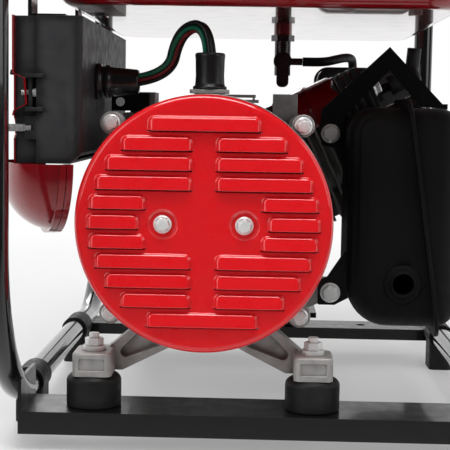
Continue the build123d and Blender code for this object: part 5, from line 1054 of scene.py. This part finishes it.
for y, inset, angle in sections:
    ring = []
    for place, way in shell_outline:
        left_share = eased((-way.x - 0.05) / 0.55) * eased((place.z - 0.090) / 0.05)
        out = -inset - shell_inset + rib_rise * rib_height(angle) * left_share
        point = place + way * out
        ring.append(shell.verts.new((point.x, y, point.z)))
    shell_rings.append(ring)
for near, far in zip(shell_rings, shell_rings[1:]):
    bridged(shell, near, far)


def tipped(shape, ring, place, smooth):
    """Closes a ring with faces that meet in one point."""
    tip = shape.verts.new(place)
    for index in range(len(ring)):
        shape.faces.new((ring[index], ring[(index + 1) % len(ring)], tip)).smooth = smooth


def closed_end(shape, ring, y, rings=5):
    """Closes a ring with flat rings that shrink to its middle."""
    middle = sum((v.co for v in ring), Vector()) / len(ring)
    last = ring
    for step in range(1, rings):
        new = []
        for first in ring:
            point = first.co.lerp(middle, step / rings)
            new.append(shape.verts.new((point.x, y, point.z)))
        bridged(shape, last, new)
        last = new
    tipped(shape, last, (middle.x, y, middle.z), True)


def pierced_end(shape, ring, y, depth, rings=6):
    """Closes the front face round the outlet's hole and sinks the hole into the shell."""
    last = ring
    steps = [(step / rings, y) for step in range(1, rings + 1)] + [(1.0, y + depth)]
    for share, at in steps:
        new = []
        for first in ring:
            way = Vector((first.co.x - outlet_x, 0, first.co.z - outlet_z)).normalized() * outlet_hole
            point = first.co.lerp(Vector((outlet_x + way.x, at, outlet_z + way.z)), share)
            new.append(shape.verts.new((point.x, at, point.z)))
        bridged(shape, last, new)
        last = new
    tipped(shape, last, (outlet_x, y + depth, outlet_z), False)


pierced_end(shell, shell_rings[0], shell_front, outlet_depth)
closed_end(shell, shell_rings[-1], shell_back)
muffler = piece_of(shell, "muffler_shell")

seam_top_x = 0.127
seam_low_x = 0.159
seam_rise = shell_high - shell_low + 0.020
seam_middle = Vector((seam_top_x + seam_low_x, shell_front + shell_back, shell_high + shell_low)) / 2
seam_up = Vector((seam_top_x - seam_low_x, 0, seam_rise)).normalized()
seam_way = Vector((seam_up.z, 0, -seam_up.x))
half_up = (shell_high - shell_low) / 2 + 0.008
half_deep = (shell_back - shell_front) / 2 + 0.007
seam_radii = (0.024, 0.024, 0.024, 0.024)
seam_outline = with_sides(rounded_outline(-half_deep, half_deep, -half_up, half_up, seam_radii))
seam = bmesh.new()
seam_rings = []
for out, thick in ((-0.0006, -0.0018), (0.0, -0.0014), (0.0, 0.0014), (-0.0006, 0.0018)):
    ring = []
    for place, way in seam_outline:
        flat = place + way * out
        point = seam_middle + Vector((0, 1, 0)) * flat.x + seam_up * flat.z + seam_way * thick
        ring.append(seam.verts.new(point))
    seam_rings.append(ring)
for near, far in zip(seam_rings, seam_rings[1:]):
    bridged(seam, near, far, smooth=False)
seam.faces.new(seam_rings[0])
seam.faces.new(seam_rings[-1])
seam_piece = piece_of(seam, "muffler_seam")

outlet_profile = [
    (0.0176, 0.0046), (0.0168, 0.0020), (0.0158, 0.0006), (0.0146, 0.0), (0.0122, 0.0002),
    (0.0112, -0.0004), (0.0109, -0.0017), (0.0103, -0.0020), (0.0095, -0.0019), (0.0092, -0.0012),
    (0.0092, 0.0300), (0.0107, 0.0300), (0.0107, 0.0046),
]
outlet = lathed("muffler_outlet", outlet_profile, (outlet_x, shell_front - 0.0022, outlet_z), (0, 1, 0))
tail_profile = [
    (0.0060, 0.0), (0.0052, 0.0040), (0.0036, 0.0090), (0.0018, 0.0130), (0.0002, 0.0160), (0.0001, 0.0),
]
tail_place = (outlet_x + 0.0135, shell_front + 0.0040, outlet_z - 0.0010)
outlet_tail = lathed("outlet_tail", tail_profile, tail_place, (1, 0, -0.12), 24)
dress(heat_black, "muffler_shell", "muffler_seam", "muffler_outlet", "outlet_tail")
for piece in (muffler, seam_piece, outlet, outlet_tail):
    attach(piece, "frame")
    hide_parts("muffler_inner_half", "muffler_outer_half")
dress(heat_black, "exhaust_pipe")

# ---- Starter rope: three twisted strands of braided nylon from the housing's eyelet to the grip.
# On the real starter it pays out from the pulley behind the grip when pulled; here it is drawn at rest.
rope_start = Vector((-0.1120, 0.2065, 0.224))
rope_end = Vector((-0.1330, 0.2065, 0.224))
strand_radius = 0.0013
strand_offset = 0.0014
strand_twist = 900.0
third_turn = 2.0944
rope_frames = carried_frames([rope_start.lerp(rope_end, t / 60) for t in range(61)])
nylon, tree, shader = new_finish("white_nylon_rope", 0.6, specular=0.3)
fleck = noise(tree, 900.0, 3.0)
coated(tree, shader, two_tone(tree, fleck, (0.45, 0.44, 0.42), (0.68, 0.67, 0.64)),
       spread(tree, fleck, 0.5, 0.7))
skin(tree, shader, fleck, 0.0003, 0.6)
for turn in range(3):
    strand = lead(f"rope_strand_{turn + 1}", rope_frames, strand_radius, strand_offset, turn * third_turn,
                  strand_twist, 8)
    dress(nylon, strand.name)
    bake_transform(strand)
